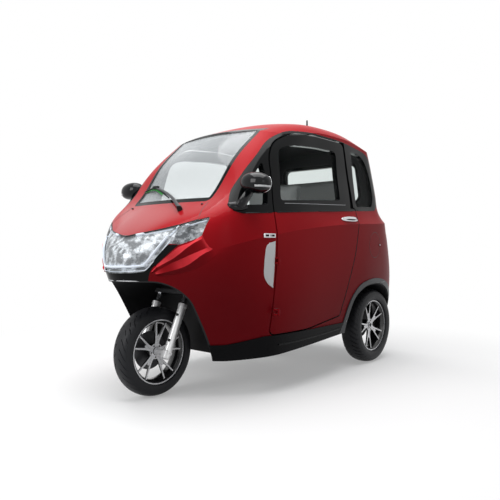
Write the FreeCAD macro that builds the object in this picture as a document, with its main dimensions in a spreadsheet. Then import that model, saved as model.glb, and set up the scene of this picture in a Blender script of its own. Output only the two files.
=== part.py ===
import FreeCAD, Part
import math
import os
import Sketcher

Vector = FreeCAD.Vector
Rotation = FreeCAD.Rotation

# Enclosed three wheeled car: one wheel in a fork at the front, two driven wheels at the rear,
# a hollow moulded cab with two doors. Millimetres, +Z up, the nose points to -Y, the left side is +X.
# Stations are measured back from the front wheel's axle, and each sub-part's placement carries them
# to the row's frame, whose origin is on the ground under the middle of the car.

doc = FreeCAD.newDocument("three_wheeled_car")
sheet = doc.addObject("Spreadsheet::Sheet", "Sizes")

DRIVING_SIZES = [
    ("axle_station", -777.0, "place of the front axle along the car, from the middle of its length"),
    ("wheelbase", 1480.0, "front axle to rear axle"),
    ("half_width", 530.0, "scale of the skin's widths"),
    ("cab_length", 2000.0, "scale of the skin's stations"),
    ("cab_height", 1500.0, "scale of the skin's heights"),
    ("wall", 34.0, "thickness of the cab's double walls and of the doors"),
    ("glass_inset", 4.0, "outer skin to the glass"),
    ("glass_thick", 5.0, "thickness of the panes"),
    ("proud", 7.0, "how far the black trims stand outside the skin"),
    ("panel_gap", 8.0, "shut line round the doors"),
    ("overrun", 20.0, "how far a cut runs past what it cuts"),
    ("front_tyre_radius", 229.5, "front tyre, 110/70-12"),
    ("front_tyre_width", 110.0, "front tyre section"),
    ("rear_tyre_radius", 243.5, "rear tyre, 130/70-12"),
    ("rear_tyre_width", 130.0, "rear tyre section"),
    ("rear_track", 844.0, "middle of one rear tyre to the other"),
    ("rim_lip_radius", 166.0, "outer edge of the twelve inch rims"),
    ("rim_seat_radius", 154.0, "bead seat of the rims"),
    ("rim_wall", 6.0, "thickness of the rim's barrel"),
    ("front_rim_width", 90.0, "front rim over its lips"),
    ("rear_rim_width", 100.0, "rear rim over its lips"),
    ("hub_radius", 34.0, "wheel hub"),
    ("spoke_thick", 16.0, "spokes along the axle"),
    ("spoke_width", 12.0, "one spoke of a pair"),
    ("spoke_root", 5.0, "a spoke's inner edge from the middle of its pair, at the hub"),
    ("spoke_tip", 18.0, "the same at the rim"),
    ("rim_lip", 5.0, "thickness of the rim's lips"),
    ("front_hub_half", 32.0, "half the front hub"),
    ("rear_hub_half", 30.0, "half the rear hub"),
    ("rear_spoke_offset", 26.0, "rear spokes outside the middle of the wheel"),
    ("front_axle_radius", 8.0, "front axle pin"),
    ("stub_radius", 12.5, "rear axle stubs"),
    ("running_fit", 0.05, "radial clearance of a shaft in its bore"),
    ("seat_gap", 0.3, "clearance of pieces that only lie against each other"),
    ("front_shoulder", 28.0, "rounding of the front tread's shoulder"),
    ("rear_shoulder", 24.0, "rounding of the rear tread's shoulder"),
    ("rake_degrees", 24.4, "steering axis from the vertical"),
    ("fork_offset", 30.0, "steering axis behind the fork legs"),
    ("leg_spread", 105.0, "fork leg from the middle"),
    ("leg_radius", 21.0, "lower fork leg"),
    ("leg_top", 263.0, "top of the lower legs, along the rake from the axle"),
    ("leg_foot", 24.0, "lower legs below the axle"),
    ("stanchion_radius", 14.0, "chrome tube above the lower legs"),
    ("clamp_low", 312.0, "lower face of the fork clamp, along the rake"),
    ("clamp_thick", 22.0, "fork clamp"),
    ("stem_radius", 12.5, "steering stem"),
    ("head_low", 345.0, "steering head's lower end, along the rake"),
    ("head_high", 560.0, "steering head's upper end"),
    ("head_radius", 27.0, "steering head tube"),
    ("stem_top", 789.0, "top of the stem, along the rake"),
    ("bar_half", 300.0, "half the handlebar"),
    ("bar_radius", 11.0, "handlebar tube"),
    ("grip_radius", 17.0, "hand grips"),
    ("grip_length", 120.0, "hand grips"),
    ("disc_radius", 100.0, "front brake disc"),
    ("disc_thick", 4.0, "front brake disc"),
    ("well_half", 292.0, "half the front wheel opening"),
    ("well_top", 606.0, "top of the front wheel opening"),
    ("well_corner", 125.0, "rounding of the opening's upper corners"),
    ("well_back", 292.0, "station of the wheel well's rear wall"),
    ("liner_thick", 7.0, "wheel well walls"),
    ("tub_inner", 338.0, "inner wall of the rear wheel wells from the middle"),
    ("floor_low", 262.0, "underside of the floor pan"),
    ("floor_thick", 8.0, "floor pan"),
    ("deck_low", 500.0, "underside of the raised rear deck"),
    ("rail_high", 50.0, "chassis rails, height"),
    ("rail_wide", 40.0, "chassis rails, width"),
    ("rail_place", 235.0, "chassis rails from the middle"),
    ("axle_tube_radius", 26.0, "rear axle tube"),
    ("drum_radius", 84.0, "rear brake drums"),
    ("drum_wide", 44.0, "rear brake drums"),
    ("motor_radius", 88.0, "drive motor"),
    ("motor_long", 230.0, "drive motor"),
    ("diff_radius", 96.0, "differential case"),
    ("shock_radius", 26.0, "rear shock absorbers"),
    ("battery_long", 350.0, "battery pack along the car"),
    ("battery_wide", 380.0, "battery pack across"),
    ("battery_high", 190.0, "battery pack height"),
    ("battery_station", 625.0, "front of the battery pack"),
    ("window_half", 110.0, "half the opening for the axle in the rear wheel wells"),
    ("window_top", 345.0, "top of that opening"),
    ("riser_station", 1152.0, "step of the floor up to the rear deck"),
    ("frame_front", 332.0, "front ends of the chassis rails"),
    ("frame_back", 1712.0, "rear ends of the chassis rails"),
    ("front_cross_half", 398.0, "half the front cross member"),
    ("middle_cross_half", 334.0, "half the middle cross member"),
    ("column_half", 45.0, "half the column that carries the steering head"),
    ("column_top", 700.0, "top of that column"),
    ("gusset_front", 226.0, "front of the plate between column and head"),
    ("tow_low", 232.0, "lower end of the towing plate"),
    ("drum_inner", 341.0, "rear drums, inner face from the middle"),
    ("diff_long", 120.0, "differential case"),
    ("shock_place", 290.0, "rear shock absorbers from the middle"),
    ("rod_radius", 8.0, "rods of the shock absorbers"),
    ("spring_high", 150.0, "springs of the shock absorbers"),
    ("dash_front", 60.0, "dashboard, front"),
    ("dash_back", 255.0, "dashboard, rear face"),
    ("dash_low", 815.0, "dashboard, lower edge"),
    ("dash_high", 905.0, "dashboard, top"),
    ("seat_front", 600.0, "driver's seat, front"),
    ("seat_back", 1000.0, "driver's seat, rear of the cushion"),
    ("seat_low", 460.0, "driver's seat, underside"),
    ("seat_top", 1180.0, "driver's seat, top of the backrest"),
    ("seat_lean", 60.0, "lean of the driver's backrest"),
    ("back_thick", 90.0, "thickness of the backrests"),
    ("cushion_high", 110.0, "thickness of the cushions"),
    ("bench_front", 1165.0, "rear bench, front"),
    ("bench_back", 1440.0, "rear bench, rear of the cushion"),
    ("bench_top", 1250.0, "rear bench, top of the backrest"),
    ("bench_lean", 50.0, "lean of the rear backrest"),
    ("mirror_place", 527.0, "door mirrors, from the middle"),
    ("mirror_station", 205.0, "left mirror"),
    ("mirror_height", 1076.0, "left mirror"),
    ("mirror_set_back", 60.0, "right mirror behind the left one"),
    ("mirror_set_up", 30.0, "right mirror above the left one"),
    ("mirror_half_wide", 80.0, "half the mirror case, across"),
    ("mirror_half_long", 46.0, "half the mirror case, along the car"),
    ("mirror_half_high", 61.0, "half the mirror case, height"),
    ("mirror_round", 38.0, "rounding of the mirror case"),
    ("mirror_foot_place", 440.0, "foot of the mirror arm, from the middle"),
    ("mirror_foot_station", 160.0, "foot of the mirror arm"),
    ("mirror_foot_height", 957.0, "foot of the mirror arm"),
    ("mirror_arm_radius", 14.0, "mirror arm"),
    ("wiper_lift", 14.0, "wiper off the glass"),
    ("wiper_radius", 5.0, "wiper arm and blade"),
    ("wiper_pivot_radius", 11.0, "wiper pivot"),
    ("aerial_foot_radius", 9.0, "roof aerial's foot"),
    ("aerial_tip_radius", 3.0, "roof aerial's tip"),
    ("hinge_place", 541.0, "door hinge axis, from the middle"),
    ("hinge_station", 360.0, "door hinge axis"),
    ("hinge_low", 440.0, "lower hinge"),
    ("hinge_high", 700.0, "upper hinge"),
    ("hinge_half", 24.0, "half a hinge's height"),
    ("hinge_pin_radius", 4.0, "hinge pins"),
    ("hinge_knuckle_radius", 7.0, "hinge knuckles"),
    ("hinge_leaf", 22.0, "hinge leaves"),
    ("seat_wide", 440.0, "driver's seat"),
    ("bench_wide", 660.0, "rear bench"),
    ("cushion_round", 28.0, "rounding of the cushions"),
    ("aerial_high", 165.0, "roof aerial"),
    ("aerial_station", 1388.0, "roof aerial"),
    ("tow_radius", 9.0, "bore of the towing eye"),
    ("tow_thick", 12.0, "towing eye plate"),
    ("plate_bolt_radius", 3.0, "number plate bolt holes"),
    ("plate_height", 560.0, "number plate bolt holes above the ground"),
    ("plate_bolt_space", 180.0, "number plate bolt holes, apart"),
]

for row, (alias, value, note) in enumerate(DRIVING_SIZES, start=1):
    sheet.set("A%d" % row, note)
    sheet.set("B%d" % row, str(value))
    sheet.setAlias("B%d" % row, alias)
doc.recompute()


def size(alias):
    """A driving dimension, read from the sheet."""
    return float(sheet.get(alias))


half_width = size("half_width")
cab_length = size("cab_length")
cab_height = size("cab_height")
wall = size("wall")
gap = size("panel_gap")
overrun = size("overrun")


# The skin. Each row is one line round half the car from the nose's middle to the tail's middle.
# A place is (width share, station share, height share) of half_width, cab_length and cab_height.

SKIN_ROW_SHARES = {
    "ground": [
        (0.000, 0.020, 0.120), (0.260, 0.030, 0.120), (0.535, 0.072, 0.120), (0.705, 0.115, 0.120),
        (0.840, 0.170, 0.120), (0.905, 0.235, 0.120), (0.925, 0.400, 0.120), (0.925, 0.600, 0.120),
        (0.915, 0.725, 0.120), (0.820, 0.845, 0.120), (0.420, 0.872, 0.120), (0.000, 0.875, 0.120)],
    "sill": [
        (0.000, -0.075, 0.280), (0.264, -0.043, 0.280), (0.547, 0.022, 0.280), (0.727, 0.070, 0.280),
        (0.862, 0.126, 0.280), (0.955, 0.202, 0.280), (0.978, 0.400, 0.280), (0.978, 0.600, 0.280),
        (0.965, 0.725, 0.280), (0.860, 0.865, 0.280), (0.434, 0.897, 0.280), (0.000, 0.900, 0.280)],
    "chin": [
        (0.000, -0.1175, 0.393), (0.255, -0.088, 0.393), (0.538, -0.030, 0.395), (0.757, 0.021, 0.395),
        (0.897, 0.085, 0.393), (0.985, 0.190, 0.393), (1.002, 0.400, 0.393), (1.002, 0.600, 0.393),
        (0.985, 0.725, 0.393), (0.877, 0.867, 0.393), (0.443, 0.900, 0.393), (0.000, 0.902, 0.393)],
    "crease": [
        (0.000, -0.1225, 0.437), (0.264, -0.0975, 0.443), (0.530, -0.049, 0.467), (0.774, -0.004, 0.497),
        (0.934, 0.053, 0.523), (1.004, 0.170, 0.553), (1.015, 0.400, 0.590), (1.011, 0.600, 0.607),
        (0.990, 0.725, 0.613), (0.896, 0.815, 0.620), (0.453, 0.833, 0.620), (0.000, 0.835, 0.620)],
    "belt": [
        (0.000, -0.084, 0.553), (0.264, -0.0715, 0.561), (0.528, -0.033, 0.581), (0.745, 0.009, 0.603),
        (0.880, 0.052, 0.619), (0.966, 0.180, 0.630), (0.975, 0.400, 0.646), (0.955, 0.600, 0.661),
        (0.925, 0.715, 0.669), (0.858, 0.782, 0.672), (0.434, 0.800, 0.673), (0.000, 0.802, 0.673)],
    "cowl": [
        (0.000, 0.038, 0.668), (0.283, 0.0415, 0.668), (0.566, 0.054, 0.669), (0.783, 0.067, 0.673),
        (0.868, 0.097, 0.680), (0.925, 0.180, 0.697), (0.945, 0.400, 0.707), (0.925, 0.600, 0.717),
        (0.894, 0.7175, 0.720), (0.836, 0.780, 0.723), (0.415, 0.796, 0.723), (0.000, 0.798, 0.723)],
    "glass": [
        (0.000, 0.111, 0.800), (0.283, 0.117, 0.800), (0.583, 0.133, 0.800), (0.765, 0.147, 0.800),
        (0.832, 0.173, 0.800), (0.880, 0.225, 0.800), (0.890, 0.400, 0.800), (0.880, 0.600, 0.800),
        (0.860, 0.720, 0.800), (0.800, 0.777, 0.800), (0.396, 0.791, 0.800), (0.000, 0.794, 0.800)],
    "rail": [
        (0.000, 0.199, 0.920), (0.283, 0.2055, 0.920), (0.602, 0.226, 0.920), (0.712, 0.2440, 0.920),
        (0.765, 0.270, 0.920), (0.817, 0.310, 0.920), (0.832, 0.425, 0.920), (0.827, 0.600, 0.920),
        (0.800, 0.715, 0.920), (0.750, 0.765, 0.920), (0.368, 0.777, 0.920), (0.000, 0.780, 0.920)],
    "sky": [
        (0.000, 0.315, 1.067), (0.283, 0.3215, 1.067), (0.566, 0.3400, 1.067), (0.638, 0.356, 1.067),
        (0.680, 0.380, 1.067), (0.713, 0.410, 1.067), (0.726, 0.485, 1.067), (0.726, 0.600, 1.067),
        (0.708, 0.690, 1.067), (0.670, 0.7375, 1.067), (0.330, 0.750, 1.067), (0.000, 0.7525, 1.067)],
}
LOWER_ROWS = ["ground", "sill", "chin", "crease"]
UPPER_ROWS = ["crease", "belt", "cowl", "glass", "rail", "sky"]

# Which way each place of a row moves when the skin is set inwards by a thickness.
INWARD_SHARES = [
    (0.0, 1.0), (-0.35, 0.94), (-0.60, 0.80), (-0.72, 0.70), (-0.88, 0.48), (-1.0, 0.08),
    (-1.0, 0.0), (-1.0, 0.0), (-1.0, -0.05), (-0.80, -0.60), (-0.05, -1.0), (0.0, -1.0)]
# How much further a row moves where the skin leans back, for the front places and for the rest.
LEAN_SHARES = {
    "ground": (1.0, 1.0), "sill": (1.0, 1.0), "chin": (1.1, 1.0), "crease": (1.1, 1.0), "belt": (1.5, 1.0),
    "cowl": (1.5, 1.0), "glass": (1.4, 1.0), "rail": (1.4, 1.0), "sky": (1.4, 1.0)}
FRONT_PLACES = 4

# The roof: crown height over each station, and the fall from the crown out to the rail.
ROOF_STATION_SHARES = [-0.30, 0.05, 0.20, 0.275, 0.35, 0.425, 0.525, 0.60, 0.70, 0.765, 0.82, 1.05]
ROOF_HEIGHT_SHARES = [0.700, 0.867, 0.939, 0.972, 1.002, 1.020, 1.026, 1.023, 1.002, 0.984, 0.963, 0.860]
ROOF_FALL_SHARES = [
    (0.000, 0.000), (0.283, 0.004), (0.528, 0.015), (0.689, 0.030), (0.783, 0.052), (0.836, 0.075),
    (0.945, 0.145), (1.170, 0.260)]


def through(points, shares, start=None, end=None):
    """A smooth curve through the points, with the run directions at its ends if they are given."""
    curve = Part.BSplineCurve()
    if start is None:
        curve.interpolate(Points=points, Parameters=shares)
    else:
        run = sum(one.distanceToPoint(two) for one, two in zip(points[:-1], points[1:]))
        curve.interpolate(
            Points=points, Parameters=shares,
            InitialTangent=start * run, FinalTangent=end * run, Scale=False)
    return curve


def run_shares(rows):
    """Shares of the run at which a family of point rows is met, averaged over the rows."""
    totals = [0.0] * len(rows[0])
    for points in rows:
        run = [0.0]
        for one, two in zip(points[:-1], points[1:]):
            run.append(run[-1] + one.distanceToPoint(two))
        totals = [total + step / run[-1] for total, step in zip(totals, run)]
    return [total / len(rows) for total in totals]


def net_surface(rows, across, start=None, end=None):
    """One smooth surface through a net of points, met along each row at the shares in across."""
    along = run_shares([list(column) for column in zip(*rows)])
    firsts = [through(points, across, start, end) for points in rows]
    columns = [list(column) for column in zip(*[curve.getPoles() for curve in firsts])]
    seconds = [through(column, along) for column in columns]
    surface = Part.BSplineSurface()
    surface.buildFromPolesMultsKnots(
        [curve.getPoles() for curve in seconds],
        firsts[0].getMultiplicities(), seconds[0].getMultiplicities(),
        firsts[0].getKnots(), seconds[0].getKnots(),
        False, False, firsts[0].Degree, seconds[0].Degree)
    return surface


def skin_row(name, inset):
    """One row of the skin, set inwards by inset."""
    points = []
    for place, (across, along, up) in enumerate(SKIN_ROW_SHARES[name]):
        lean = LEAN_SHARES[name][0 if place < FRONT_PLACES else 1]
        side_way, back_way = INWARD_SHARES[place]
        if place == FRONT_PLACES:
            lean = 0.5 * (LEAN_SHARES[name][0] + LEAN_SHARES[name][1])
        points.append(Vector(
            across * half_width + side_way * inset * (lean if place < FRONT_PLACES else 1.0),
            along * cab_length + back_way * inset * lean,
            up * cab_height))
    return points


def closed_solid(faces):
    """The solid inside a set of faces that meet along their edges."""
    skin = Part.makeCompound(faces)
    skin.sewShape()
    solid = Part.Solid(skin.Shells[0])
    if solid.Volume < 0:
        solid.reverse()
    return solid


def roof_prism(inset):
    """All that lies under the roof's upper surface."""
    rows = []
    for along, up in zip(ROOF_STATION_SHARES, ROOF_HEIGHT_SHARES):
        half = [Vector(across * half_width, along * cab_length, (up - fall) * cab_height - inset)
                for across, fall in ROOF_FALL_SHARES]
        other = [Vector(-point.x, point.y, point.z) for point in reversed(half[1:])]
        rows.append(other + half)
    face = net_surface(rows, run_shares(rows)).toShape()
    return face.extrude(Vector(0, 0, -2 * cab_height))


def skin_solid(inset):
    """The whole outside of the cab as a solid, set inwards by inset."""
    start = Vector(1, 0, 0)
    end = Vector(-1, 0, 0)
    rows = {name: skin_row(name, inset) for name in SKIN_ROW_SHARES}
    across = run_shares(list(rows.values()))
    lower = net_surface([rows[name] for name in LOWER_ROWS], across, start, end)
    upper = net_surface([rows[name] for name in UPPER_ROWS], across, start, end)
    faces = []
    caps = {"low": [], "high": []}
    for surface, side in ((lower, "low"), (upper, "high")):
        face = surface.toShape()
        other = face.mirror(Vector(0, 0, 0), Vector(1, 0, 0))
        faces += [face, other]
        share = 0.0 if side == "low" else 1.0
        edge = surface.vIso(share).toShape()
        caps[side] = [edge, edge.mirror(Vector(0, 0, 0), Vector(1, 0, 0))]
    for edges in caps.values():
        faces.append(Part.Face(Part.Wire(Part.sortEdges(edges)[0])))
    return closed_solid(faces).common(roof_prism(inset))


SAME_PLACE = 1e-6

# Flat outlines, each corner given as (first, second, rounding), and the prisms that they cut.

SIDE = "side"
FRONT = "front"
PLAN = "plan"


def set_in(view, first, second, depth=0.0):
    """A point of an outline in the side, front or plan view."""
    if view == SIDE:
        return Vector(depth, first, second)
    if view == FRONT:
        return Vector(first, depth, second)
    return Vector(first, second, depth)


def outline(view, corners):
    """A closed flat wire with each corner rounded by its own radius."""
    points = [set_in(view, first, second) for first, second, rounding in corners]
    count = len(points)
    ends = []
    edges = []
    for index, (first, second, rounding) in enumerate(corners):
        here = points[index]
        before = (points[index - 1] - here).normalize()
        after = (points[(index + 1) % count] - here).normalize()
        if rounding <= 0:
            ends.append((here, here))
            continue
        half_turn = before.getAngle(after) / 2
        reach = rounding / math.tan(half_turn)
        middle = (before + after).normalize()
        centre = here + middle * (rounding / math.sin(half_turn))
        into = here + before * reach
        out = here + after * reach
        top = centre - middle * rounding
        edges.append((index, Part.Arc(into, top, out).toShape()))
        ends.append((into, out))
    arcs = dict(edges)
    loop = []
    for index in range(count):
        if index in arcs:
            loop.append(arcs[index])
        start = ends[index][1]
        stop = ends[(index + 1) % count][0]
        if not start.isEqual(stop, SAME_PLACE):
            loop.append(Part.makeLine(start, stop))
    return Part.Wire(loop)


def prism(view, wire, low, high):
    """The solid of an outline between two depths."""
    face = Part.Face(wire)
    face.translate(set_in(view, 0, 0, low))
    return face.extrude(set_in(view, 0, 0, high - low))


def grown(wire, by):
    """An outline set outwards, or inwards if by is negative."""
    return wire.makeOffset2D(by)


def mirrored(shape):
    """The same shape on the other side of the car."""
    return shape.mirror(Vector(0, 0, 0), Vector(1, 0, 0))


def both(shape):
    """A shape and its mirror image."""
    return Part.makeCompound([shape, mirrored(shape)])


def solids(shape):
    """A shape's solids, without slivers of faces and edges."""
    found = shape.Solids
    return found[0] if len(found) == 1 else Part.makeCompound(found)


# The skins: outside, inside of the walls, both sides of the glass, and the proud black trims.

outer_skin = skin_solid(0.0)
inner_skin = skin_solid(wall)
glass_outer = skin_solid(size("glass_inset"))
glass_inner = skin_solid(size("glass_inset") + size("glass_thick"))
proud_skin = skin_solid(-size("proud"))
walls = outer_skin.cut(inner_skin)
panes = glass_outer.cut(glass_inner)
proud_walls = proud_skin.cut(inner_skin)

beyond = half_width + 4 * overrun
middle_low = 0.55 * half_width
front_axle_height = size("front_tyre_radius")
wheelbase = size("wheelbase")


def station(share):
    """A station of the cab, as a share of its length."""
    return share * cab_length


def height(share):
    """A height of the cab, as a share of its height."""
    return share * cab_height


def across(share):
    """A distance from the middle, as a share of the half width."""
    return share * half_width


def places(view, corner_shares):
    """An outline whose corners are shares of the cab's sizes, roundings as shares of its height."""
    first_scale = cab_length if view == SIDE else half_width
    second_scale = cab_length if view == PLAN else cab_height
    return outline(view, [
        (first * first_scale, second * second_scale, rounding * cab_height)
        for first, second, rounding in corner_shares])


# Outlines seen from the side: station share, height share, rounding share.

WINDOW_BAND_SHARES = [
    (0.0535, 0.6530, 0.008), (0.0525, 0.6315, 0.008), (0.0750, 0.6215, 0.05), (0.3600, 0.6450, 2.0),
    (0.7350, 0.6700, 0.06), (0.7640, 0.7000, 0.04), (0.7600, 0.8300, 0.5), (0.7500, 0.9080, 0.05),
    (0.7150, 0.9315, 0.12), (0.5600, 0.9510, 1.2), (0.4000, 0.9535, 1.0), (0.3000, 0.9430, 0.25),
    (0.2235, 0.8960, 0.30), (0.1390, 0.7905, 0.6)]
DOOR_SHARES = [
    (0.181, 0.2130, 0.020), (0.330, 0.2130, 0.6), (0.495, 0.2415, 0.010), (0.570, 0.4900, 0.5),
    (0.590, 0.6200, 0.3), (0.592, 0.6680, 0.008), (0.563, 0.6690, 0.003), (0.571, 0.7870, 0.8),
    (0.5725, 0.9400, 0.022), (0.420, 0.9410, 0.6), (0.305, 0.9290, 0.2), (0.2334, 0.8840, 0.15),
    (0.200, 0.8200, 0.12), (0.182, 0.6500, 0.3)]
DOOR_GLASS_SHARES = [
    (0.213, 0.6740, 0.010), (0.505, 0.6985, 0.010), (0.524, 0.8980, 0.020), (0.420, 0.8965, 0.6),
    (0.290, 0.8830, 0.3), (0.238, 0.8590, 0.05)]
REAR_GLASS_SHARES = [
    (0.602, 0.6780, 0.012), (0.718, 0.6865, 0.020), (0.737, 0.7300, 0.05), (0.732, 0.8200, 0.25),
    (0.715, 0.8850, 0.08), (0.685, 0.9120, 0.06), (0.622, 0.9160, 0.012)]
FRONT_GLASS_SHARES = [
    (0.067, 0.6480, 0.004), (0.161, 0.6560, 0.012), (0.170, 0.7000, 0.2), (0.175, 0.8070, 0.004)]
SILL_SHARES = [
    (-0.02, 0.1815, 0.0), (0.086, 0.1840, 0.02), (0.165, 0.2085, 0.05), (0.560, 0.2085, 0.0),
    (0.560, 0.1680, 0.0), (0.0925, 0.1280, 0.02), (-0.02, 0.1280, 0.0)]
ARCH_TRIM_SHARES = [
    (0.500, 0.1640, 0.0), (0.519, 0.2080, 0.1), (0.548, 0.2980, 0.2), (0.600, 0.3560, 0.15),
    (0.705, 0.3870, 0.4), (0.815, 0.3500, 0.15), (0.878, 0.2450, 0.15), (0.884, 0.1640, 0.0)]
REAR_ARCH_SHARES = [
    (0.525, 0.100, 0.0), (0.532, 0.190, 0.25), (0.570, 0.305, 0.12), (0.640, 0.352, 0.20),
    (0.740, 0.357, 0.25), (0.815, 0.318, 0.15), (0.868, 0.225, 0.12), (0.872, 0.100, 0.0)]
REAR_OVERHANG_SHARES = [
    (0.790, 0.2733, 0.0), (0.960, 0.2733, 0.0), (0.960, 0.160, 0.0),
    (0.790, 0.160, 0.0)]
TAIL_LAMP_SHARES = [
    (0.792, 0.628, 0.006), (0.800, 0.570, 0.006), (0.826, 0.545, 0.006), (0.90, 0.545, 0.0),
    (0.90, 0.628, 0.0)]

# Outlines seen from the front: width share, height share, rounding share.

SCREEN_SHARES = [
    (0.574, 0.6650, 0.018), (0.577, 0.740, 0.2), (0.600, 0.888, 0.2), (0.604, 0.955, 0.0),
    (-0.604, 0.955, 0.0), (-0.600, 0.888, 0.2), (-0.577, 0.740, 0.2), (-0.574, 0.6650, 0.018)]
LAMP_SHARES = [
    (0.000, 0.4275, 0.0), (0.200, 0.4300, 0.10), (0.300, 0.4345, 0.012), (0.495, 0.5235, 0.004),
    (0.560, 0.5190, 0.008), (0.718, 0.5440, 0.010), (0.742, 0.6020, 0.003), (0.730, 0.6085, 0.003),
    (0.640, 0.5993, 0.3), (0.360, 0.5695, 0.5), (0.100, 0.5520, 0.3), (0.000, 0.5510, 0.0)]
GRILLE_SHARES = [
    (0.000, 0.3000, 0.0), (0.300, 0.3000, 0.0), (0.300, 0.4040, 0.02), (0.330, 0.4290, 0.1),
    (0.375, 0.4530, 0.12), (0.462, 0.4815, 0.2), (0.565, 0.5200, 0.0), (0.000, 0.5250, 0.0)]
REAR_SCREEN_SHARES = [
    (0.640, 0.712, 0.040), (0.600, 0.905, 0.040), (-0.600, 0.905, 0.040), (-0.640, 0.712, 0.040)]

# Outlines seen from above: width share, station share, rounding share.

HOOD_SHARES = [
    (0.652, -0.20, 0.0), (0.652, -0.008, 0.004), (0.574, 0.0340, 0.02), (0.572, 0.0600, 0.0),
    (0.560, 0.30, 0.0),
    (-0.560, 0.30, 0.0), (-0.572, 0.0600, 0.0), (-0.574, 0.0340, 0.02), (-0.652, -0.008, 0.004),
    (-0.652, -0.20, 0.0)]

band_wire = places(SIDE, WINDOW_BAND_SHARES)
door_wire = places(SIDE, DOOR_SHARES)
door_opening_wire = grown(door_wire, gap)

band_prism = prism(SIDE, band_wire, middle_low, beyond)
door_prism = prism(SIDE, door_wire, middle_low, beyond)
door_opening = prism(SIDE, door_opening_wire, middle_low, beyond)
door_glass_prism = prism(SIDE, places(SIDE, DOOR_GLASS_SHARES), middle_low, beyond)
front_glass_prism = prism(SIDE, places(SIDE, FRONT_GLASS_SHARES), middle_low, beyond)
rear_glass_prism = prism(SIDE, places(SIDE, REAR_GLASS_SHARES), middle_low, beyond)
sill_prism = prism(SIDE, places(SIDE, SILL_SHARES), across(0.2), beyond)
arch_trim_prism = prism(SIDE, places(SIDE, ARCH_TRIM_SHARES), across(0.2), beyond)
tail_lamp_prism = prism(SIDE, places(SIDE, TAIL_LAMP_SHARES), across(0.66), beyond)
bumper_prism = prism(SIDE, places(SIDE, REAR_OVERHANG_SHARES), -beyond, beyond)

screen_wire = places(FRONT, SCREEN_SHARES)
seal_width = height(0.014)
screen_prism = prism(FRONT, screen_wire, station(-0.2), station(0.40))
pane_prism = prism(FRONT, grown(screen_wire, -seal_width), station(-0.2), station(0.40))
lamp_half = prism(FRONT, places(FRONT, LAMP_SHARES), station(-0.3), station(0.09))
lamp_prism = lamp_half.fuse(mirrored(lamp_half)).removeSplitter()
grille_half = prism(FRONT, places(FRONT, GRILLE_SHARES), station(-0.3), station(0.05))
grille_prism = grille_half.fuse(mirrored(grille_half)).cut(lamp_prism)
rear_screen_wire = places(FRONT, REAR_SCREEN_SHARES)
rear_screen_prism = prism(FRONT, rear_screen_wire, station(0.70), station(1.1))
rear_screen_pane = prism(FRONT, grown(rear_screen_wire, -seal_width), station(0.70), station(1.1))
hood_prism = prism(PLAN, places(PLAN, HOOD_SHARES), height(0.548), height(0.80))
hood_prism = hood_prism.cut(screen_prism).cut(lamp_prism).cut(grille_prism)

well_wire = outline(FRONT, [
    (size("well_half"), 0.0, 0.0), (size("well_half"), size("well_top"), size("well_corner")),
    (-size("well_half"), size("well_top"), size("well_corner")), (-size("well_half"), 0.0, 0.0)])
well_prism = prism(FRONT, well_wire, station(-0.4), size("well_back"))
well_hollow = prism(
    FRONT, grown(well_wire, -size("liner_thick")), station(-0.4), size("well_back") - size("liner_thick"))


def round_bar(radius, start, end):
    """A round bar between two points."""
    way = end - start
    return Part.makeCylinder(radius, way.Length, start, way)


def block(low, high):
    """A box between two corners."""
    return Part.makeBox(high.x - low.x, high.y - low.y, high.z - low.z, low)


rear_arch_wire = places(SIDE, REAR_ARCH_SHARES)
rear_arch = prism(SIDE, rear_arch_wire, size("tub_inner"), beyond)
roof_prism_middle = prism(SIDE, outline(SIDE, [
    (station(0.18), height(0.945), 0.0), (station(0.30), height(0.945), 0.0),
    (station(0.30), height(0.85), 0.0), (station(0.752), height(0.85), 0.0),
    (station(0.752), height(1.2), 0.0), (station(0.18), height(1.2), 0.0)]),
    -across(0.64), across(0.64))
roof_prism_middle = roof_prism_middle.cut(screen_prism)
rear_prism = block(
    Vector(-across(0.70), station(0.752), height(0.2733)), Vector(across(0.70), station(1.1), height(1.2)))

nodes = {}


def keep(name, shape):
    """Add one sub-part to the document, named and placed in the row's frame."""
    feature = doc.addObject("Part::Feature", name)
    feature.Shape = solids(shape)
    feature.Label = name
    feature.Placement = FreeCAD.Placement(Vector(0, size("axle_station"), 0), Rotation())
    nodes[name] = feature
    return feature


# Cab panels.

arch_band = arch_trim_prism.cut(rear_arch)
sill_band = sill_prism.cut(well_prism).cut(rear_arch).cut(arch_trim_prism)
panel_cuts = [
    band_prism, door_opening, sill_prism, arch_trim_prism, rear_arch, tail_lamp_prism, bumper_prism,
    screen_prism, lamp_prism, grille_prism, hood_prism, well_prism, roof_prism_middle, rear_prism,
    block(Vector(-beyond, station(-0.3), 0.0), Vector(beyond, station(1.1), height(0.164)))]
right_half = block(Vector(0, station(-0.3), 0.0), Vector(beyond, station(1.1), height(1.3)))
side_frame = walls.common(right_half).cut(panel_cuts)
keep("side_frame_left", side_frame)
keep("side_frame_right", mirrored(side_frame))

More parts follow.
